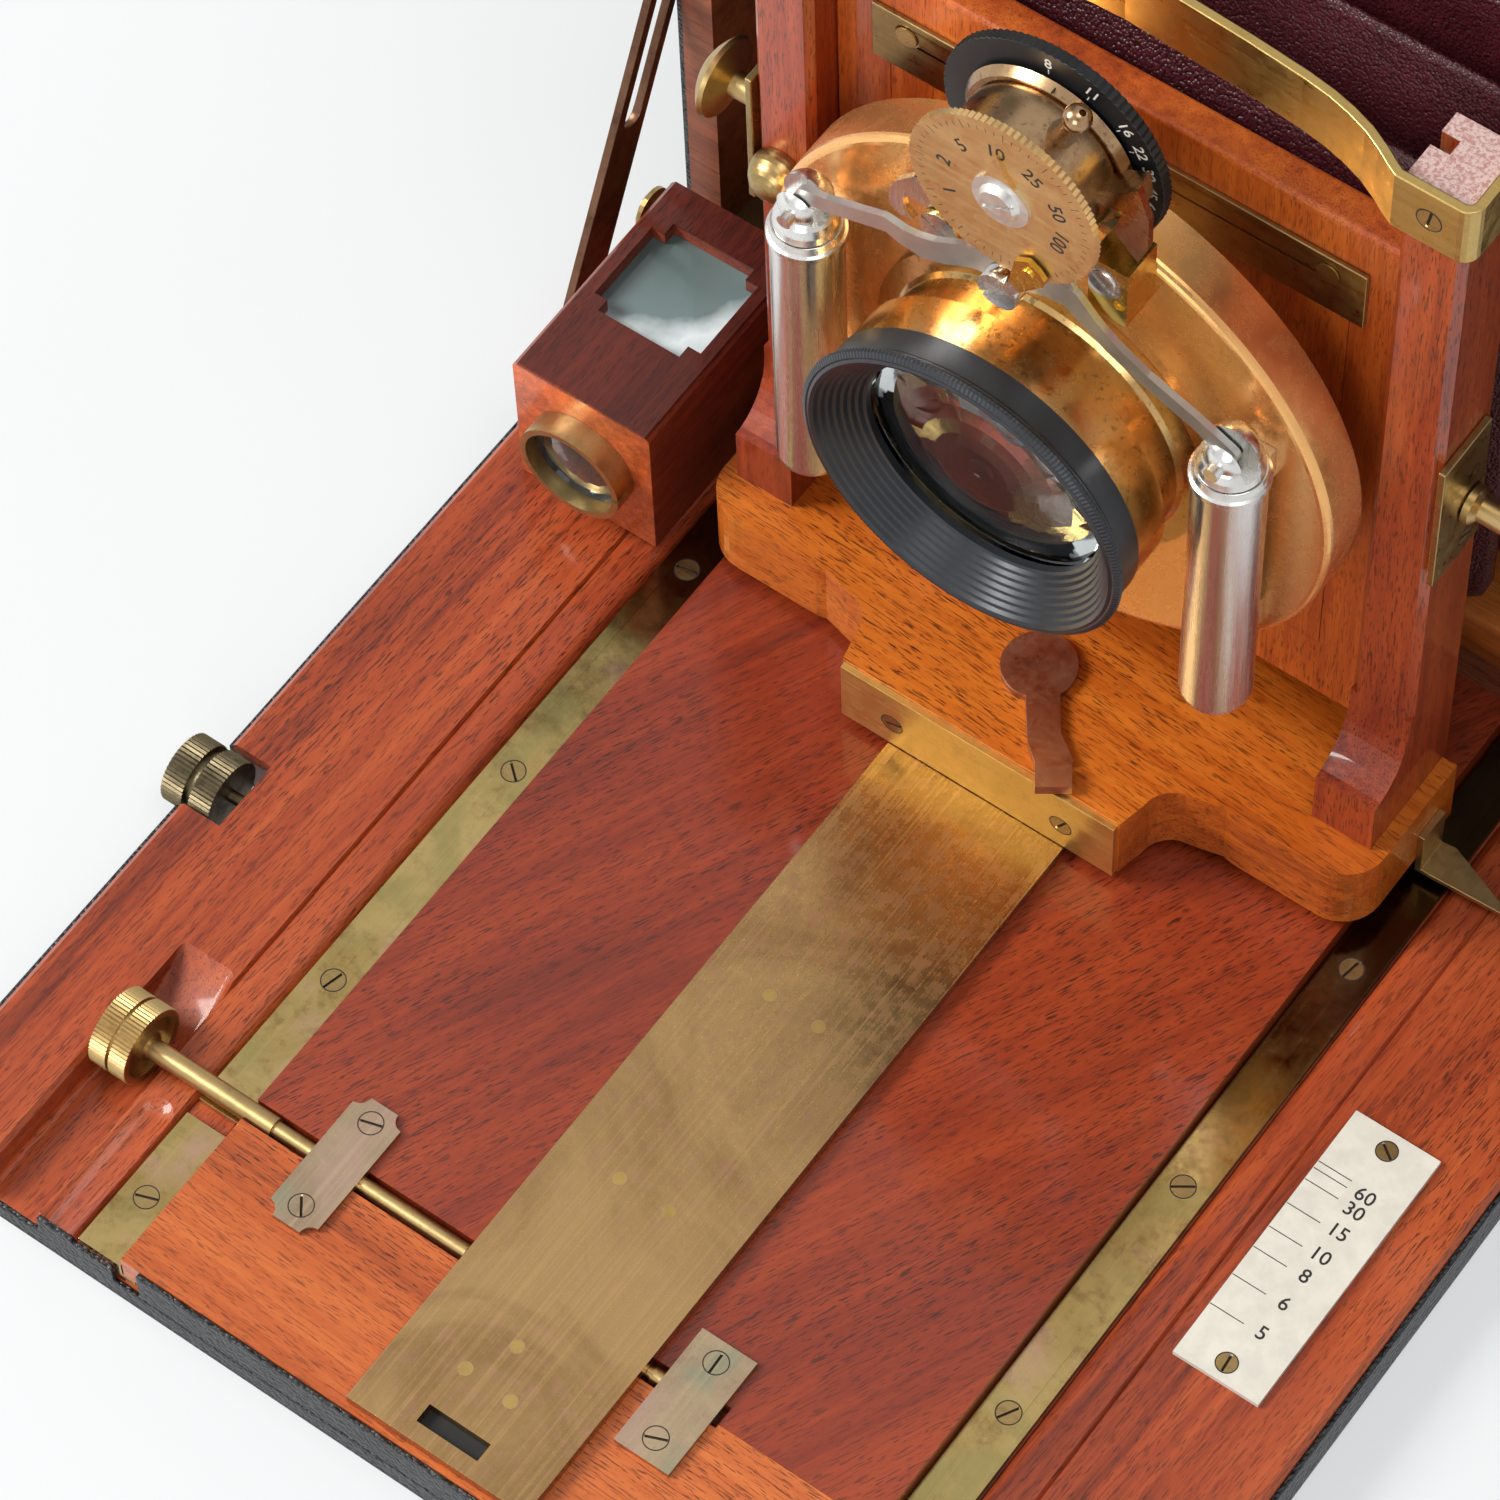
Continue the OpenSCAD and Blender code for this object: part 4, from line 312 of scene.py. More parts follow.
M = {
    "bed": wood("bed_mahogany", (96, 34, 16), (152, 62, 28), (178, 84, 40), "Y", 1.15, 0.3, 0.05, 0.3),
    "board": wood("figured_mahogany", (86, 26, 10), (124, 42, 15), (150, 58, 22), "Y", 1.25, 0.5, 0.42, 1.1, 0.8),
    "cleat": wood("cleat_mahogany", (126, 52, 18), (174, 82, 34), (198, 106, 50), "X", 1.2, 0.35, 0.03, 2.1),
    "base": wood("base_mahogany", (122, 48, 8), (180, 86, 16), (204, 112, 32), "X", 1.4, 0.35, 0.06, 3.3, 0.6),
    "post": wood("post_mahogany", (84, 24, 8), (136, 48, 18), (170, 72, 28), "Z", 1.1, 0.4, 0.0, 4.2, 0.7),
    "panel": wood("panel_mahogany", (118, 42, 12), (170, 72, 20), (204, 102, 32), "Z", 0.9, 0.4, 0.0, 5.4, 0.6),
    "finder": wood("finder_mahogany", (74, 24, 14), (112, 44, 28), (146, 62, 36), "Y", 1.0, 0.3, 0.0, 6.5),
    "case": wood("case_wood", (80, 36, 20), (120, 60, 34), (150, 82, 48), "X", 0.8, 0.3, 0.0, 7.5, 0.15, 0.5),
    "back": wood("back_mahogany", (90, 30, 16), (138, 52, 26), (170, 76, 36), "X", 0.9, 0.4, 0.0, 8.5),
    "sill": wood("sill_mahogany", (150, 66, 22), (200, 104, 42), (224, 140, 66), "X", 0.6, 0.4, 0.0, 9.5),
    "track": brass("track_brass", (190, 154, 104), (158, 122, 80), (176, 132, 110), "Y", 0.24, 0.8, 1.2, 0.2, 0.6),
    "rail": brass("rail_brass", (196, 170, 112), (164, 136, 80), (106, 76, 48), "Y", 0.15, 0.7, 0.6, 0.7, 0.5,
                  stain=((206, 164, 140), (168, 154, 98)), rear_darkening=(118, 172, (64, 50, 32))),
    "brass": brass("brass", (192, 164, 112), (164, 138, 92), (126, 100, 64), None, 0.34, 0.5, 0.5, 1.4, 0.4),
    "yoke": brass("yoke_brass", (202, 172, 106), (182, 152, 90), (160, 130, 78), "X", 0.32, 0.5, 0.9, 2.4, 0.3),
    "strip": brass("strip_brass", (238, 206, 124), (216, 180, 104), (166, 130, 76), "X", 0.36, 0.4, 1.0, 3.4, 0.3),
    "plates": brass("plate_brass", (190, 168, 136), (168, 144, 120), (146, 118, 98), "Y", 0.3, 0.8, 0.9, 4.4, 0.5,
                    stain=((196, 160, 146), (150, 156, 132))),
    "retainer": brass("retainer_brass", (176, 154, 102), (142, 120, 78), (112, 92, 62), "X", 0.3, 0.7, 0.8, 4.9, 0.4),
    "screw": brass("screw_brass", (180, 154, 104), (150, 124, 78), (110, 86, 56), "X", 0.3, 0.6, 0.6, 5.4, 0.5),
    "drum": brass("drum_copper", (242, 184, 116), (234, 170, 102), (206, 140, 82), None, 0.22, 0.25, 0.08, 6.4, 0.1,
                  metal=0.85),
    "barrel": brass("barrel_brass", (216, 178, 118), (186, 146, 92), (98, 72, 50), None, 0.2, 0.5, 0.1, 7.4, 0.2,
                    spots=0.55, accents=BALLS),
    "turret": brass("turret_bronze", (178, 146, 110), (146, 112, 84), (92, 68, 50), None, 0.22, 0.6, 0.25, 7.9, 0.4,
                    spots=0.5, accents=BALLS),
    "dial": brass("dial_brass", (226, 190, 134), (210, 172, 118), (166, 130, 88), "X", 0.34, 0.5, 0.6, 8.4, 0.3,
                  accents=(((0, 165.0, DIAL_Z), 5.4),)),
    "lever": brass("lever_bronze", (196, 156, 126), (170, 128, 104), (140, 104, 80), None, 0.32, 0.7, 0.5, 9.4, 0.3),
    "strut": brass("strut_brass", (128, 94, 74), (98, 68, 52), (66, 46, 38), "Z", 0.36, 0.8, 1.0, 10.4, 0.6),
    "wheel": brass("wheel_brass", (136, 124, 96), (96, 86, 66), (52, 46, 38), None, 0.36, 0.8, 0.6, 11.4, 0.7),
    "nickel": brass("worn_nickel", (226, 225, 222), (208, 205, 200), (186, 176, 168), "Z", 0.24, 0.3, 0.3, 12.4, 0.1,
                    satin=(0.2, 0.32)),
    "post_brass": brass("block_brass", (226, 190, 92), (204, 166, 80), (150, 116, 60), "Y", 0.2, 0.4, 0.8, 13.4, 0.3,
                        accents=SCREWS_OF_BLOCK),
    "rivet": brass("rivet_brass", (196, 164, 98), (176, 146, 86), (140, 112, 66), None, 0.3, 0.5, 0.6, 14.4),
    "blade": brass("blade_steel", (70, 70, 74), (52, 50, 52), (36, 32, 32), None, 0.35, 0.6, 0.6, 15.4),
    "leather": leather("black_leather", (17, 18, 20), (42, 45, 50)),
    "strap": leather("strap_leather", (20, 18, 17), (42, 38, 35), 1300, 0.5, 0.4, 0.0003),
    "bellows": leather("bellows_leather", (54, 13, 19), (86, 27, 35), 1700, 0.7, 0.34, 0.0003, 0.45),
    "lining": leather("bellows_lining", (10, 10, 10), (22, 22, 23), 700, 0.3, 0.8, 0.0002, 0.2),
    "hood": simple("black_lacquer", (58, 60, 64), Roughness=0.3, Metallic=0.6),
    "scale_black": simple("scale_black", (44, 44, 46), Roughness=0.4, Metallic=0.6),
    "ivory": simple("ivory", (214, 209, 196), Roughness=0.4, Coat_Weight=0.15),
    "ink": simple("ink", (30, 26, 24), Roughness=0.6),
    "white_ink": simple("white_ink", (220, 216, 204), Roughness=0.6),
    "glass": glass("lens_glass_clear"),
    "ground": glass("ground_glass_frosted", (0.9, 0.94, 0.93), 0.45),
    "link": simple("link_steel", (212, 209, 204), Metallic=1.0, Roughness=0.33),
    # the finder's window: its colour is replaced further down by a painted reflection
    "window": simple("finder_glass_painted_reflection", (166, 188, 194), Roughness=0.12, Coat_Weight=0.25, Metallic=0.0),
    "eye": simple("finder_lens_dark", (58, 58, 54), Roughness=0.05, Coat_Weight=1.0),
    "shade": simple("dull_black", (20, 20, 21), Roughness=0.7),
    # dark figures and lines on the dial and turret, dark rings round the screw heads, and painted shade in the screw
    # slots
    "dark_marks_and_shade": simple("dark_marks_and_shade", (34, 24, 16), Roughness=0.8),
    "thread": simple("thread", (120, 110, 96), Roughness=0.8),
}

# The nodes that wear each material
DRESSED = {
    "bed": ["bed_floor", "bed_side_left", "bed_side_right"],
    "board": ["inner_board"],
    "cleat": ["front_cleat"],
    "base": ["standard_base"],
    "post": ["post_left", "post_right"],
    "panel": ["panel_frame", "lens_board"],
    "finder": ["finder_box"],
    "case": ["box_case"],
    "back": ["back_frame", "glass_frame"],
    "sill": ["box_floor"],
    "leather": ["box_leather", "bed_leather", "board_leather"],
    "strap": ["handle_strap"],
    "bellows": ["bellows"],
    "track": ["track_plate"],
    "rail": ["bed_rails"],
    "brass": ["case_fittings", "latch_button", "glass_springs", "finder_lens_ring", "board_rack", "pinion_rod",
              "focus_knob", "scale_pointer", "lock_knob_left", "lock_knob_right"],
    "barrel": ["lens_barrel"],
    "turret": ["iris_ring"],
    "plates": ["rod_plates"],
    "retainer": ["lock_plates", "board_retainer"],
    "screw": ["bed_fittings", "standard_screws"],
    "yoke": ["post_yoke"],
    "strip": ["base_strip"],
    "drum": ["shutter_drum"],
    "dial": ["speed_dial"],
    "lever": ["clamp_lever"],
    "strut": ["strut_left", "strut_right"],
    "wheel": ["edge_wheel"],
    "nickel": ["air_cylinders", "piston_left", "piston_right", "release_lever"],
    "link": ["link_left", "link_right"],
    "hood": ["lens_hood"],
    "scale_black": ["aperture_scale"],
    "ivory": ["focus_scale"],
    "post_brass": ["dial_post"],
    "glass": ["lens_glass"],
    "window": ["finder_glass"],
    "ground": ["ground_glass"],
}


def dress(obj, paint):
    obj.data.materials.clear()
    obj.data.materials.append(paint.m)


for key, names in DRESSED.items():
    for name in names:
        dress(nodes[name], M[key])


def corners(name):
    """Lowest and highest corner of a node's mesh."""
    points = [v.co for v in nodes[name].data.vertices]
    return [Vector([pick(p[i] for p in points) for i in range(3)]) for pick in (min, max)]


# The finder's window, with a painted reflection: a bright band round its far left corner between darker tones, and
# the dark lens at its front
low, high = corners("finder_glass")
k = M["window"]
band = k.math("ADD", k.away((low.x, high.y, high.z)), k.span(k.noise(k.vec(), 120, 3), 0.3, 0.7, -0.0015, 0.0015))
# painted reflection in the colour: darker near the corner, then a white band, then paler grey-blue tones
k.set(Base_Color=k.ramp(k.span(band, 0.008, 0.042), [
    (0.0, lin(84, 100, 98)), (0.42, lin(110, 128, 128)), (0.56, lin(226, 238, 240)), (0.72, lin(176, 196, 200)),
    (1.0, lin(120, 140, 144))]))
pane = nodes["finder_glass"].data
pane.materials.append(M["eye"].m)
EYE_DEPTH = 0.006
for p in pane.polygons:
    if p.center.y < low.y + EYE_DEPTH:
        p.material_index = 1

# The finder's dark top, painted light on its front that makes it bright orange, and the end grain on top of the posts
FADE, FULL = 0.0006, 0.0002             # depths under the surface where a face's tint begins and is full: the top's own tone, and the front's painted light
low, high = corners("finder_box")
face_tone(M["finder"], "Z", high.z - FADE, high.z - FULL, (0.42, 0.36, 0.42))
# painted light: the front face made brighter and more orange, as if lit from the front
face_tone(M["finder"], "Y", low.y + FADE, low.y + FULL, (2.5, 2.9, 1.5))
end_grain(M["post"], corners("post_right")[1].z - 0.0003)

# Rounded edges on the carried-over parts, in millimetres
EDGES = {
    "standard_base": 0.7, "panel_frame": 0.5, "finder_box": 1.2, "post_left": 0.5, "post_right": 0.5,
    "front_cleat": 0.15, "inner_board": 0.15, "bed_side_left": 0.2, "bed_side_right": 0.2, "lens_board": 0.2,
    "box_case": 0.5, "back_frame": 0.9, "glass_frame": 0.6, "box_floor": 0.4, "bed_floor": 0.1, "bed_leather": 0.3,
    "board_leather": 0.3, "track_plate": 0.2, "rod_plates": 0.2, "board_retainer": 0.25, "post_yoke": 0.3,
    "base_strip": 0.25, "lock_plates": 0.25, "clamp_lever": 0.3, "strut_left": 0.25, "strut_right": 0.25,
    "dial_post": 0.2, "case_fittings": 0.2, "aperture_scale": 0.12, "scale_pointer": 0.15, "bed_rails": 0.12,
}
for name, width in EDGES.items():
    weld = nodes[name].modifiers.new("join", "WELD")
    weld.merge_threshold = 0.000004
    bevel = nodes[name].modifiers.new("edge", "BEVEL")
    bevel.width = width / 1000
    bevel.segments = 2
    bevel.limit_method = "ANGLE"
    bevel.angle_limit = math.radians(38)
    bevel.use_clamp_overlap = True
    bevel.harden_normals = True


# Small pieces built from vertices

def loops(count, n, closed=False, start=0):
    """Quads between neighbouring loops of n points; closed also joins the last loop to the first."""
    faces = []
    for i in range(count if closed else count - 1):
        a, b = start + i * n, start + (i + 1) % count * n
        faces += [(a + j, a + (j + 1) % n, b + (j + 1) % n, b + j) for j in range(n)]
    return faces


def piece(name, verts, faces, paint, body, smooth=True):
    me = bpy.data.meshes.new(name)
    me.from_pydata([tuple(v) for v in verts], [], faces)
    bm = bmesh.new()
    bm.from_mesh(me)
    bmesh.ops.recalc_face_normals(bm, faces=bm.faces)
    bm.to_mesh(me)
    bm.free()
    for p in me.polygons:
        p.use_smooth = smooth
    o = link(name, me)
    dress(o, paint)
    if body:
        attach(o, body)
    return o


def facing(point, x_axis, z_axis):
    """A frame at a point with its own x and z directions."""
    x, z = Vector(x_axis).normalized(), Vector(z_axis).normalized()
    m = Matrix((x, z.cross(x), z)).transposed().to_4x4()
    m.translation = point
    return m


def lying(x, y, z):
    """A frame on a surface that looks up."""
    return facing(at(x, y, z), (1, 0, 0), UP)


def clock(y, radius, angle, outward=False):
    """A frame on a circle round the turret's axis, at an angle in degrees from the top."""
    a = math.radians(angle)
    d = Vector((math.sin(a), 0, math.cos(a)))
    return facing(at(0, y, DIAL_Z) + d * radius / 1000, (math.cos(a), 0, -math.sin(a)), d if outward else FORE)


class Heap:
    """Collects many small closed forms for one piece: sizes in mm, in a frame's own directions."""

    def __init__(self):
        self.v, self.f = [], []

    def add(self, verts, faces):
        n = len(self.v)
        self.v += [Vector(v) for v in verts]
        self.f += [tuple(i + n for i in f) for f in faces]

    def slab(self, place, outline, low, high):
        """A closed plate with an outline in x and y, between two heights along z."""
        n = len(outline)
        vs = [place @ Vector((x / 1000, y / 1000, h / 1000)) for h in (low, high) for x, y in outline]
        fs = [tuple(range(n))[::-1], tuple(range(n, 2 * n))]
        fs += [(i, (i + 1) % n, n + (i + 1) % n, n + i) for i in range(n)]
        self.add(vs, fs)

    def bar(self, place, x0, x1, y0, y1, low, high):
        self.slab(place, [(x0, y0), (x1, y0), (x1, y1), (x0, y1)], low, high)

    def ring(self, place, r0, r1, low, high, n=32):
        turns = [2 * math.pi * i / n for i in range(n)]
        vs = [place @ Vector((r * math.cos(a) / 1000, r * math.sin(a) / 1000, h / 1000))
              for r, h in ((r0, low), (r1, low), (r1, high), (r0, high)) for a in turns]
        self.add(vs, loops(4, n, True))

    def disc(self, place, r, low, high, n=24):
        turns = [2 * math.pi * i / n for i in range(n)]
        self.slab(place, [(r * math.cos(a), r * math.sin(a)) for a in turns], low, high)

    def text(self, place, words, size, depth=0.03):
        cu = bpy.data.curves.new("words", "FONT")
        cu.body = words
        cu.size = size / 1000
        cu.align_x = "CENTER"
        cu.align_y = "CENTER"
        cu.resolution_u = 3
        cu.offset = size * 0.000008
        cu.extrude = depth / 2000
        ob = link("words", cu)
        bpy.context.view_layer.update()
        me = bpy.data.meshes.new_from_object(ob.evaluated_get(bpy.context.evaluated_depsgraph_get()))
        self.add([place @ (v.co + Vector((0, 0, depth / 2000))) for v in me.vertices],
                 [tuple(p.vertices) for p in me.polygons])
        bpy.data.objects.remove(ob)
        bpy.data.curves.remove(cu)
        bpy.data.meshes.remove(me)

    def make(self, name, paint, body, slot):
        return piece(name, self.v, self.f, paint, body, False)


# Dark rings round the screw heads, and painted shade on the floors of their slots: place, facing, head radius and
# slot angle
BIG_HEAD, SMALL_HEAD = 2.2, 1.9
screws = {"bed": [], "inner_bed": [], "standard": []}
RAIL_TURNS = {-73: (20, 75, -40, 10, 120), 73: (-20, 60, 35, 80, 150)}
for x, turns in RAIL_TURNS.items():
    for i, turn in enumerate(turns):
        screws["bed"].append((at(x, 13.1 + 53 * i, RAIL_TOP), UP, BIG_HEAD, turn))
for y in (94.5, 144.3):
    screws["bed"].append((at(98.5, y, BED_TOP), UP, SMALL_HEAD, y))
for x, y, turn in ((-48.25, 25.9, -53.5), (-48.25, 45.6, 16.5), (28.2, 25.9, 22.4), (28.2, 43.2, 92.4)):
    screws["inner_bed"].append((at(x, y, PLATE_TOP), UP, BIG_HEAD, turn))
for side in (-1, 1):
    outward = (side, 0, 0)
    screws["standard"] += [
        (at(18.3 * side, 160.4, 24), FORE, BIG_HEAD, 40 + side * 20),
        (at(62.4 * side, 190.17, 207.5), FORE, BIG_HEAD, 80),
        (at(70.33 * side, 201, 207.5), outward, BIG_HEAD, 15),
        (at(69.9 * side, 201, 131), outward, SMALL_HEAD, 60),
        (at(69.9 * side, 201, 113), outward, SMALL_HEAD, 60),
    ]
for body, rows in screws.items():
    heap = Heap()
    for point, normal, r, turn in rows:
        f = facing(point, (1, 0, 0) if normal in (UP, FORE) else (0, 1, 0), normal)
        heap.ring(f, r - 0.02, r + 0.2, -0.03, 0.02)
        # painted shade: a dark bar on the floor of each slot
        heap.bar(f @ Matrix.Rotation(math.radians(turn), 4, "Z"), 0.1 - r, r - 0.1, -0.22, 0.22, -0.48, -0.36)
    heap.make("screw_rings_and_shade_" + body, M["dark_marks_and_shade"], body, "brass")
heap = Heap()
for x in (-41.2, 41.2):
    heap.disc(facing(at(x, 198.3, 167.4), (1, 0, 0), FORE), 2.1, 0.0, 0.35)
heap.make("retainer_screws", M["screw"], "lens_panel", "brass")

# Rivet ends in the track plate, and a dark sheet under its slot as painted shade
heap, dark = Heap(), Heap()
for x, y in ((-5.9, 61.5), (4.9, 61.3), (-0.9, 25.5), (-5.6, 17.1), (4.4, 16.6), (4.7, 105.7), (-6.0, 105.9)):
    heap.disc(lying(x, y, TRACK_TOP), 1.25, -0.02, 0.03)
    dark.ring(lying(x, y, TRACK_TOP), 1.2, 1.38, -0.02, 0.018)
heap.make("track_rivets", M["rivet"], "track", "track_brass")
dark.make("track_rivet_lines", M["lever"], "track", "track_brass")
heap = Heap()
# painted shade: a dark sheet that closes the slot from below
heap.bar(lying(0, 0, 14.82), -6.48, 6.48, 4.52, 8.28, 0, 0.08)
heap.make("slot_shade", M["shade"], "track", "track_brass")

# Focusing scale: lines, and distances where there is room for them
heap = Heap()
FAR_Y, SCALE_LENGTH = 135.9, 33.6
for words, part, words_y in (("", 0.0, None), ("60", 0.046, 134.6), ("30", 0.126, 131.1), ("15", 0.295, None),
                             ("10", 0.461, None), ("8", 0.604, None), ("6", 0.796, None), ("5", 1.0, None)):
    y = FAR_Y - SCALE_LENGTH * part
    heap.bar(lying(89.75, y, BED_TOP), 0.1, 7.0, -0.09, 0.09, -0.02, 0.02)
    if words:
        heap.text(lying(100.3, words_y or y + 0.2, BED_TOP), words, 3.9)
heap.make("scale_marks", M["ink"], "bed", "ivory")

# Aperture scale: numbers and ticks round its rim
heap = Heap()
for words, angle in (("8", -4), ("11", 22), ("16", 46), ("22", 61), ("32", 75), ("45", 88), ("64", 101)):
    heap.text(clock(180.1, 18.6, angle), words, 3.0)
    heap.bar(clock(180.1, 16.8, angle), -0.1, 0.1, -0.5, 0.5, -0.02, 0.02)
heap.make("aperture_marks", M["white_ink"], "lens_panel", "black_paint")

# Dial: figures in a ring, and fine divisions at the rim
heap = Heap()
for i, words in enumerate(("1", "2", "5", "10", "25", "50", "100")):
    heap.text(clock(166, 11.2, -118 + 37 * i), words, 3.8)
for i in range(60):
    half = 0.45 if i % 5 else 0.9
    heap.bar(clock(166, 15.8, 6 * i), -0.06, 0.06, -half, half, -0.02, 0.015)
heap.make("dial_marks", M["dark_marks_and_shade"], "dial", "dial_brass")

# Index lines on the turret's flange
heap = Heap()
for angle in (4, 92):
    heap.bar(clock(178.5, 15.8, angle, True), -0.12, 0.12, -0.9, 0.9, -0.2, 0.12)
heap.make("index_lines", M["dark_marks_and_shade"], "iris", "brass")


# Inside of the lens: dull black tube and the leaves of the iris

def turned(name, profiles, paint, body, smooth=True):
    """A closed form round the lens axis: one loop of radius and y for each step of the turn."""
    vs = []
    for i, profile in enumerate(profiles):
        a = 2 * math.pi * i / len(profiles)
        vs += [at(r * math.cos(a), y, LENS_Z + r * math.sin(a)) for r, y in profile]
    return piece(name, vs, loops(len(profiles), len(profiles[0]), True), paint, body, smooth)


TUBE = [(26.9, 171.5), (27.1, 171.5), (27.1, 203), (24.0, 205), (23.8, 205), (26.8, 202.8)]
turned("lens_tube", [TUBE] * 64, M["shade"], "lens_panel")
heap = Heap()
LEAVES, LEAF_STEPS = 12, 8
for i in range(LEAVES):
    turns = [2 * math.pi * i / LEAVES + math.radians(11 * j) for j in range(LEAF_STEPS + 1)]
    leaf = [(26.6 * math.cos(a), 26.6 * math.sin(a)) for a in turns]
    for j, a in reversed(list(enumerate(turns))):
        r = 12.5 + 9.0 * (j / LEAF_STEPS) ** 2
        leaf.append((r * math.cos(a), r * math.sin(a)))
    heap.slab(facing(at(0, 178.0 + i * 0.16, LENS_Z), (1, 0, 0), FORE), leaf, 0.0, 0.1)
heap.make("iris_leaves", M["blade"], "lens_panel", "black_paint")

# Milled bead at the mouth of the hood: every other step of the turn stands out by the tooth
TOOTH = 0.16
BEAD = [[(30.6, 154.42), (31.0 + d, 154.3), (31.9 + d, 154.9), (32.0 + d, 155.6), (31.3, 156.2)]
        for d in (0.0, TOOTH)]
turned("hood_bead", BEAD * 240, M["hood"], "lens_panel", False)

# Bellows: pleats between the box and the lens panel, built in five parts, one for each entry of PARTS

VALLEYS, PITCH = [205.9, 222.4, 238.9], 8.6
for count, pitch in ((7, PITCH), (3, PITCH / 3), (4, PITCH / 4), (4, PITCH)):
    VALLEYS += [VALLEYS[-1] + pitch * (i + 1) for i in range(count)]
PLEAT = [(0.0, 0.0), (0.06, 0.05), (0.43, 0.93), (0.475, 0.99), (0.525, 0.99), (0.57, 0.93), (0.94, 0.05)]
DEEP, SUNK = 20.0, 12.0                 # height of a pleat, and how far its valley lies below the middle form
HALF_WIDTH = (205.7, 299, 308, 351.2), (50, 63, 65, 94)
TOP = (205.7, 351.2), (174, 213)
LOW = (205.7, 299, 308, 351.2), (51, 47, 46, 25)
SKIN, LINING = (0.0, 0.9), (0.95, 1.25)


def bellows_ring(y, rise, inset):
    """Points round the bellows at y: rise is 0 in a valley and 1 on a ridge."""
    d = DEEP * rise - SUNK - inset
    half = float(np.interp(y, *HALF_WIDTH)) + d
    top = float(np.interp(y, *TOP)) + d
    low = float(np.interp(y, *LOW)) - d
    c = 6 + 5 * rise
    pts = []
    for cx, cz, first in ((half - c, low + c, -90), (half - c, top - c, 0), (-half + c, top - c, 90),
                          (-half + c, low + c, 180)):
        turns = [math.radians(first + 30 * i) for i in range(4)]
        pts += [at(cx + c * math.cos(a), y, cz + c * math.sin(a)) for a in turns]
    return pts


ROWS = [(a + (b - a) * t, rise) for a, b in zip(VALLEYS, VALLEYS[1:]) for t, rise in PLEAT]
ROWS = [(VALLEYS[0], 0.6)] + ROWS[2:] + [(VALLEYS[-1], 0.6)]


def bellows_part(name, first, last, skin, paint):
    """A tube of the rows from first to last, between two depths below the outer face."""
    rows = ROWS[first:last + 1]
    rings = [bellows_ring(y, rise, depth) for depth in skin for y, rise in rows]
    n, m = len(rings[0]), len(rows)
    fs = []
    for outer, inner in zip(loops(m, n), loops(m, n, start=m * n)):
        fs += [outer, (inner[0], inner[3], inner[2], inner[1])]
    for end in (0, m - 1):
        fs += [(end * n + i, end * n + (i + 1) % n, (m + end) * n + (i + 1) % n, (m + end) * n + i) for i in range(n)]
    o = piece(name, [p for ring in rings for p in ring], fs, paint, None)
    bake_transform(o)
    return o


# The rows that bound the parts: the first part ends on a ridge, the next ones in valleys
CUTS = [0, 3] + [len(PLEAT) * pleats - 1 for pleats in (9, 12, 14)] + [len(ROWS) - 1]
PARTS = [("rise", "standard", "lens_panel"), ("run", "track", "standard"), ("focus", "inner_bed", "track"),
         ("draw", "bed", "inner_bed"), ("fold", "box", "bed")]
for (label, *joint), first, last in zip(PARTS, CUTS, CUTS[1:]):
    skin = bellows_part("bellows_" + label, first, last, SKIN, M["bellows"])
    if label == "fold":
        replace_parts(skin, "bellows")
    bellows_part("lining_" + label, first, last, LINING, M["lining"])

# Carrying strap: one length of leather, folded round the pin at each end and sewn back on itself

STRAP_MID, PIN_Y, PIN_Z, LOOP_R = 294.0, 38.0, 244.5, 2.2
ARCH, HALF_THICK, CROWN, TAIL = 5.6, 0.8, 0.55, 21.0


def strap_arch(v):
    """Height of the strap's middle layer at a distance v from its centre."""
    return PIN_Z + LOOP_R + ARCH * (1 - (v / PIN_Y) ** 2)


def strap_path():
    """The strap's run from one sewn end over the arch to the other: distance and height."""
    end = []
    for i in range(9):
        t = i / 8
        v = TAIL + (PIN_Y - TAIL) * t
        w = t * t * (3 - 2 * t)
        end.append((v, (strap_arch(v) - 1.75) * (1 - w) + (PIN_Z - LOOP_R) * w))
    for i in range(1, 12):
        a = math.radians(-90 + 15 * i)
        end.append((PIN_Y + LOOP_R * math.cos(a), PIN_Z + LOOP_R * math.sin(a)))
    arch = [(v, strap_arch(v)) for v in np.linspace(PIN_Y, -PIN_Y, 39)]
    return end + arch + [(-v, z) for v, z in reversed(end)]


path = strap_path()
END = 20                                # points of the path in each folded end
vs = []
for i, (v, z) in enumerate(path):
    a, b = path[max(i - 1, 0)], path[min(i + 1, len(path) - 1)]
    along = Vector((0, b[0] - a[0], b[1] - a[1])).normalized()
    out = Vector((0, -along.z, along.y))
    if out.z < 0 and abs(v) < PIN_Y and z > PIN_Z:
        out = -out
    half = 9.4 + 1.2 * max(0.0, min(1.0, (PIN_Y - 3 - abs(v)) / 9))
    crown = CROWN if abs(v) < PIN_Y - 1 and z > strap_arch(v) - 0.5 else 0.15
    section = []
    for j in range(9):
        x = half * (-1 + j / 4)
        e = abs(x) / half
        section.append((x if e < 1 else x * 0.985, HALF_THICK * (1 if e < 1 else 0.45) + crown * (1 - e * e)))
    section += [(x, -HALF_THICK if abs(x) < half * 0.9 else -0.36) for x, _ in reversed(section)]
    if i < END or i > len(path) - END - 1:
        out = -out
    for x, h in section:
        p = Vector((0, v, z)) + out * h
        vs.append(at(x, STRAP_MID + p.y, p.z))
n = len(section)
fs = loops(len(path), n) + [tuple(range(n))[::-1], tuple(range(len(vs) - n, len(vs)))]
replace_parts(piece("carrying_strap", vs, fs, M["strap"], "box"), "handle_strap")

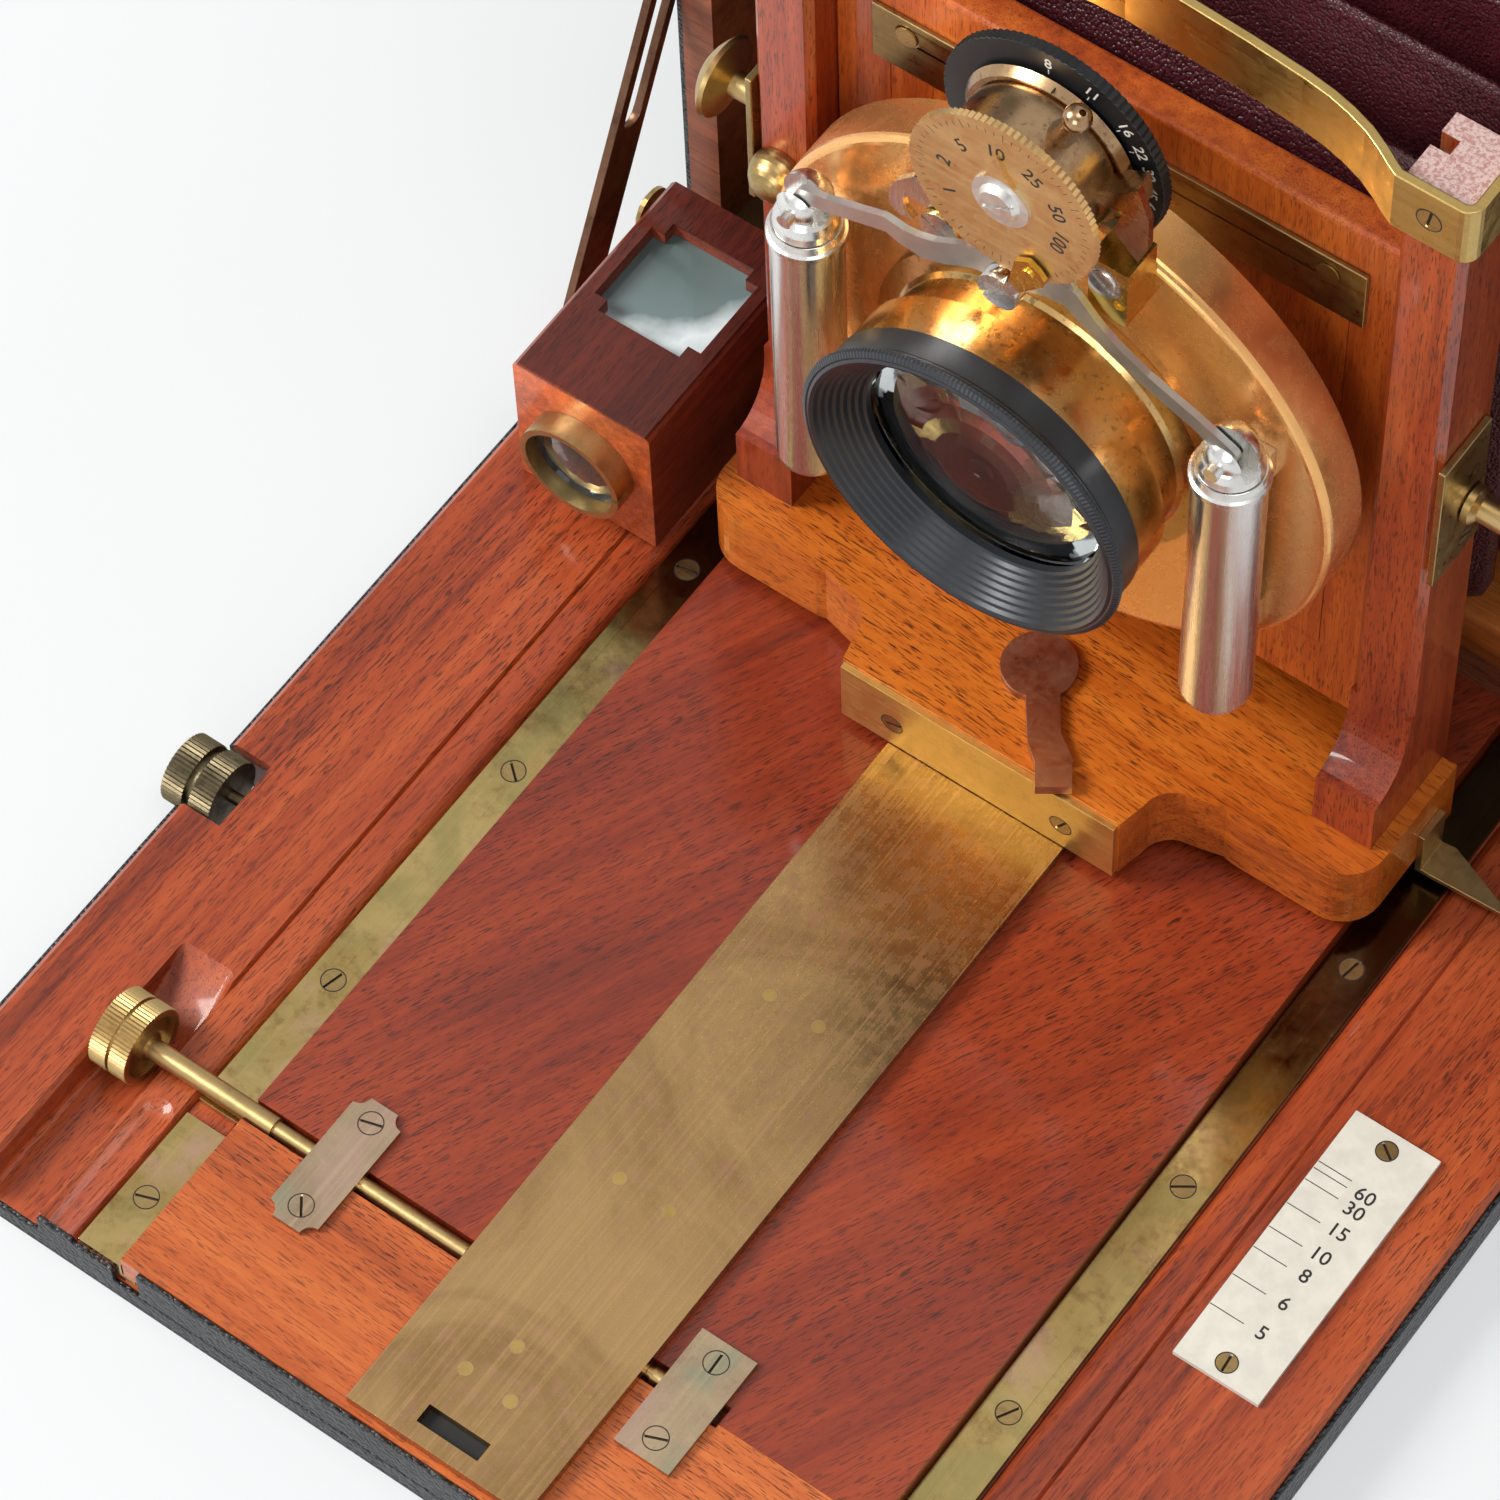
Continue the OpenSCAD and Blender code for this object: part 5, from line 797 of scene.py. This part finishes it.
# Stitches along both edges of the strap, and across it where its ends are sewn down
heap = Heap()
STITCH = [(-0.75, -0.12), (-0.5, -0.26), (0.5, -0.26), (0.75, -0.12), (0.75, 0.12), (0.5, 0.26), (-0.5, 0.26),
          (-0.75, 0.12)]


def stitch(x, v, across):
    slope = math.atan(-2 * ARCH * v / PIN_Y ** 2)
    along = Vector((0, math.cos(slope), math.sin(slope)))
    up = Vector((0, -math.sin(slope), math.cos(slope)))
    top = strap_arch(v) + HALF_THICK + CROWN * (1 - (x / 10.6) ** 2) + 0.02
    heap.slab(facing(at(x, STRAP_MID + v, top), (1, 0, 0) if across else along, up), STITCH, -0.3, 0.1)


for i in range(-15, 16):
    for x in (-8.4, 8.4):
        stitch(x, i * 2.1, False)
for i in range(-3, 4):
    for v in (-23.0, 23.0):
        stitch(i * 2.2, v, True)
heap.make("strap_stitches", M["thread"], "box", "leather")

# Stage, light and camera

k = Paint("pale_floor")
k.set(Base_Color=lin(226, 228, 229), Roughness=0.6)
glow = k.node("Emission", {0: lin(238, 239, 240)})
camera_ray, mirrored_ray = k.rays()
seen = k.math("MULTIPLY", k.math("MAXIMUM", camera_ray, mirrored_ray), 0.55)
k.feed(k.out, 0, k.node("MixShader", {0: seen, 1: k.p.outputs[0], 2: glow.outputs[0]}).outputs[0])
HALF_FLOOR, FLOOR_Z = 4.0, -0.0002
me = bpy.data.meshes.new("floor")
me.from_pydata([(x * HALF_FLOOR, y * HALF_FLOOR, FLOOR_Z) for x, y in ((-1, -1), (1, -1), (1, 1), (-1, 1))], [],
               [(0, 1, 2, 3)])
floor = link("floor", me)
dress(floor, k)

# The world: an even light, a white background, and the pale room as metal and varnish show it, with the
# darker gaps between its screens
world = bpy.data.worlds.new("studio")
bpy.context.scene.world = world
world.use_nodes = True
k = Nodes(world.node_tree)


def room(axis, low, high, stops):
    """Greys of the room along one direction, at positions from low to high."""
    return k.ramp(k.span(k.axis(axis, "Generated"), low, high), [((x - low) / (high - low), c) for x, c in stops])


upward = room("Z", 0.0, 1.0, [(0.0, 0.9), (0.2, 0.86), (0.55, 0.72), (0.95, 0.84)])
across = room("X", -1.0, 1.0, [(-0.95, 0.95), (-0.78, 0.30), (-0.60, 0.35), (-0.48, 1.0), (0.18, 1.0),
                               (0.34, 0.28), (0.55, 0.30), (0.68, 1.0)])
shown = k.node("Background", {0: k.node("VectorMath", {0: upward, 1: across}, operation="MULTIPLY").outputs[0]})
fill = k.node("Background", {0: (0.27, 0.28, 0.29)})
white = k.node("Background", {0: lin(240, 241, 242)})
camera_ray, mirrored_ray = k.rays()
rest = k.node("MixShader", {0: mirrored_ray, 1: fill.outputs[0], 2: shown.outputs[0]})
whole = k.node("MixShader", {0: camera_ray, 1: rest.outputs[0], 2: white.outputs[0]})
k.node("OutputWorld", {0: whole.outputs[0]})


def lamp(name, place, target, size, power, colour=(1, 1, 1)):
    d = bpy.data.lights.new(name, "AREA")
    d.shape = "RECTANGLE"
    d.size, d.size_y = size
    d.energy = power
    d.color = colour
    o = link(name, d)
    o.location = place
    o.rotation_mode = "QUATERNION"
    o.rotation_quaternion = (Vector(target) - Vector(place)).to_track_quat("-Z", "Y")


lamp("key", (-1.35, -0.85, 1.25), (0, 0, 0.05), (0.8, 0.8), 47, (1.0, 0.985, 0.96))
lamp("fill", (0.5, -1.7, 0.8), (0, 0, 0.05), (0.9, 0.9), 10, (0.97, 0.985, 1.0))
lamp("top", (0.55, -0.15, 1.9), (0, 0, 0), (0.9, 0.9), 9)
lamp("rear", (0.9, 1.5, 1.0), (0, 0, 0.1), (1.0, 0.6), 7)

# The photograph's camera: focal length in pixels, azimuth, elevation and roll in degrees, and its place
FOCAL, PHOTO_WIDTH, SENSOR = 6468.5, 1500, 36
AZIMUTH, ELEVATION, ROLL = (math.radians(v) for v in (38.378, 58.733, -2.714))
lens = bpy.data.cameras.new("camera")
lens.sensor_width = SENSOR
lens.sensor_fit = "HORIZONTAL"
lens.lens = SENSOR * FOCAL / PHOTO_WIDTH
lens.clip_start = 0.05
lens.clip_end = 50
camera = link("camera", lens)
bpy.context.scene.camera = camera
back = Vector((math.sin(AZIMUTH) * math.cos(ELEVATION), -math.cos(AZIMUTH) * math.cos(ELEVATION),
               math.sin(ELEVATION)))
level = Vector((math.cos(AZIMUTH), math.sin(AZIMUTH), 0))
down = (-back).cross(level)
right = math.cos(ROLL) * level - math.sin(ROLL) * down
up = -(math.sin(ROLL) * level + math.cos(ROLL) * down)
turn = Matrix((right, up, back)).transposed().to_4x4()
camera.matrix_world = Matrix.Translation(at(336.7, -329.1, 1012.3)) @ turn

bpy.context.scene.view_settings.view_transform = "Standard"
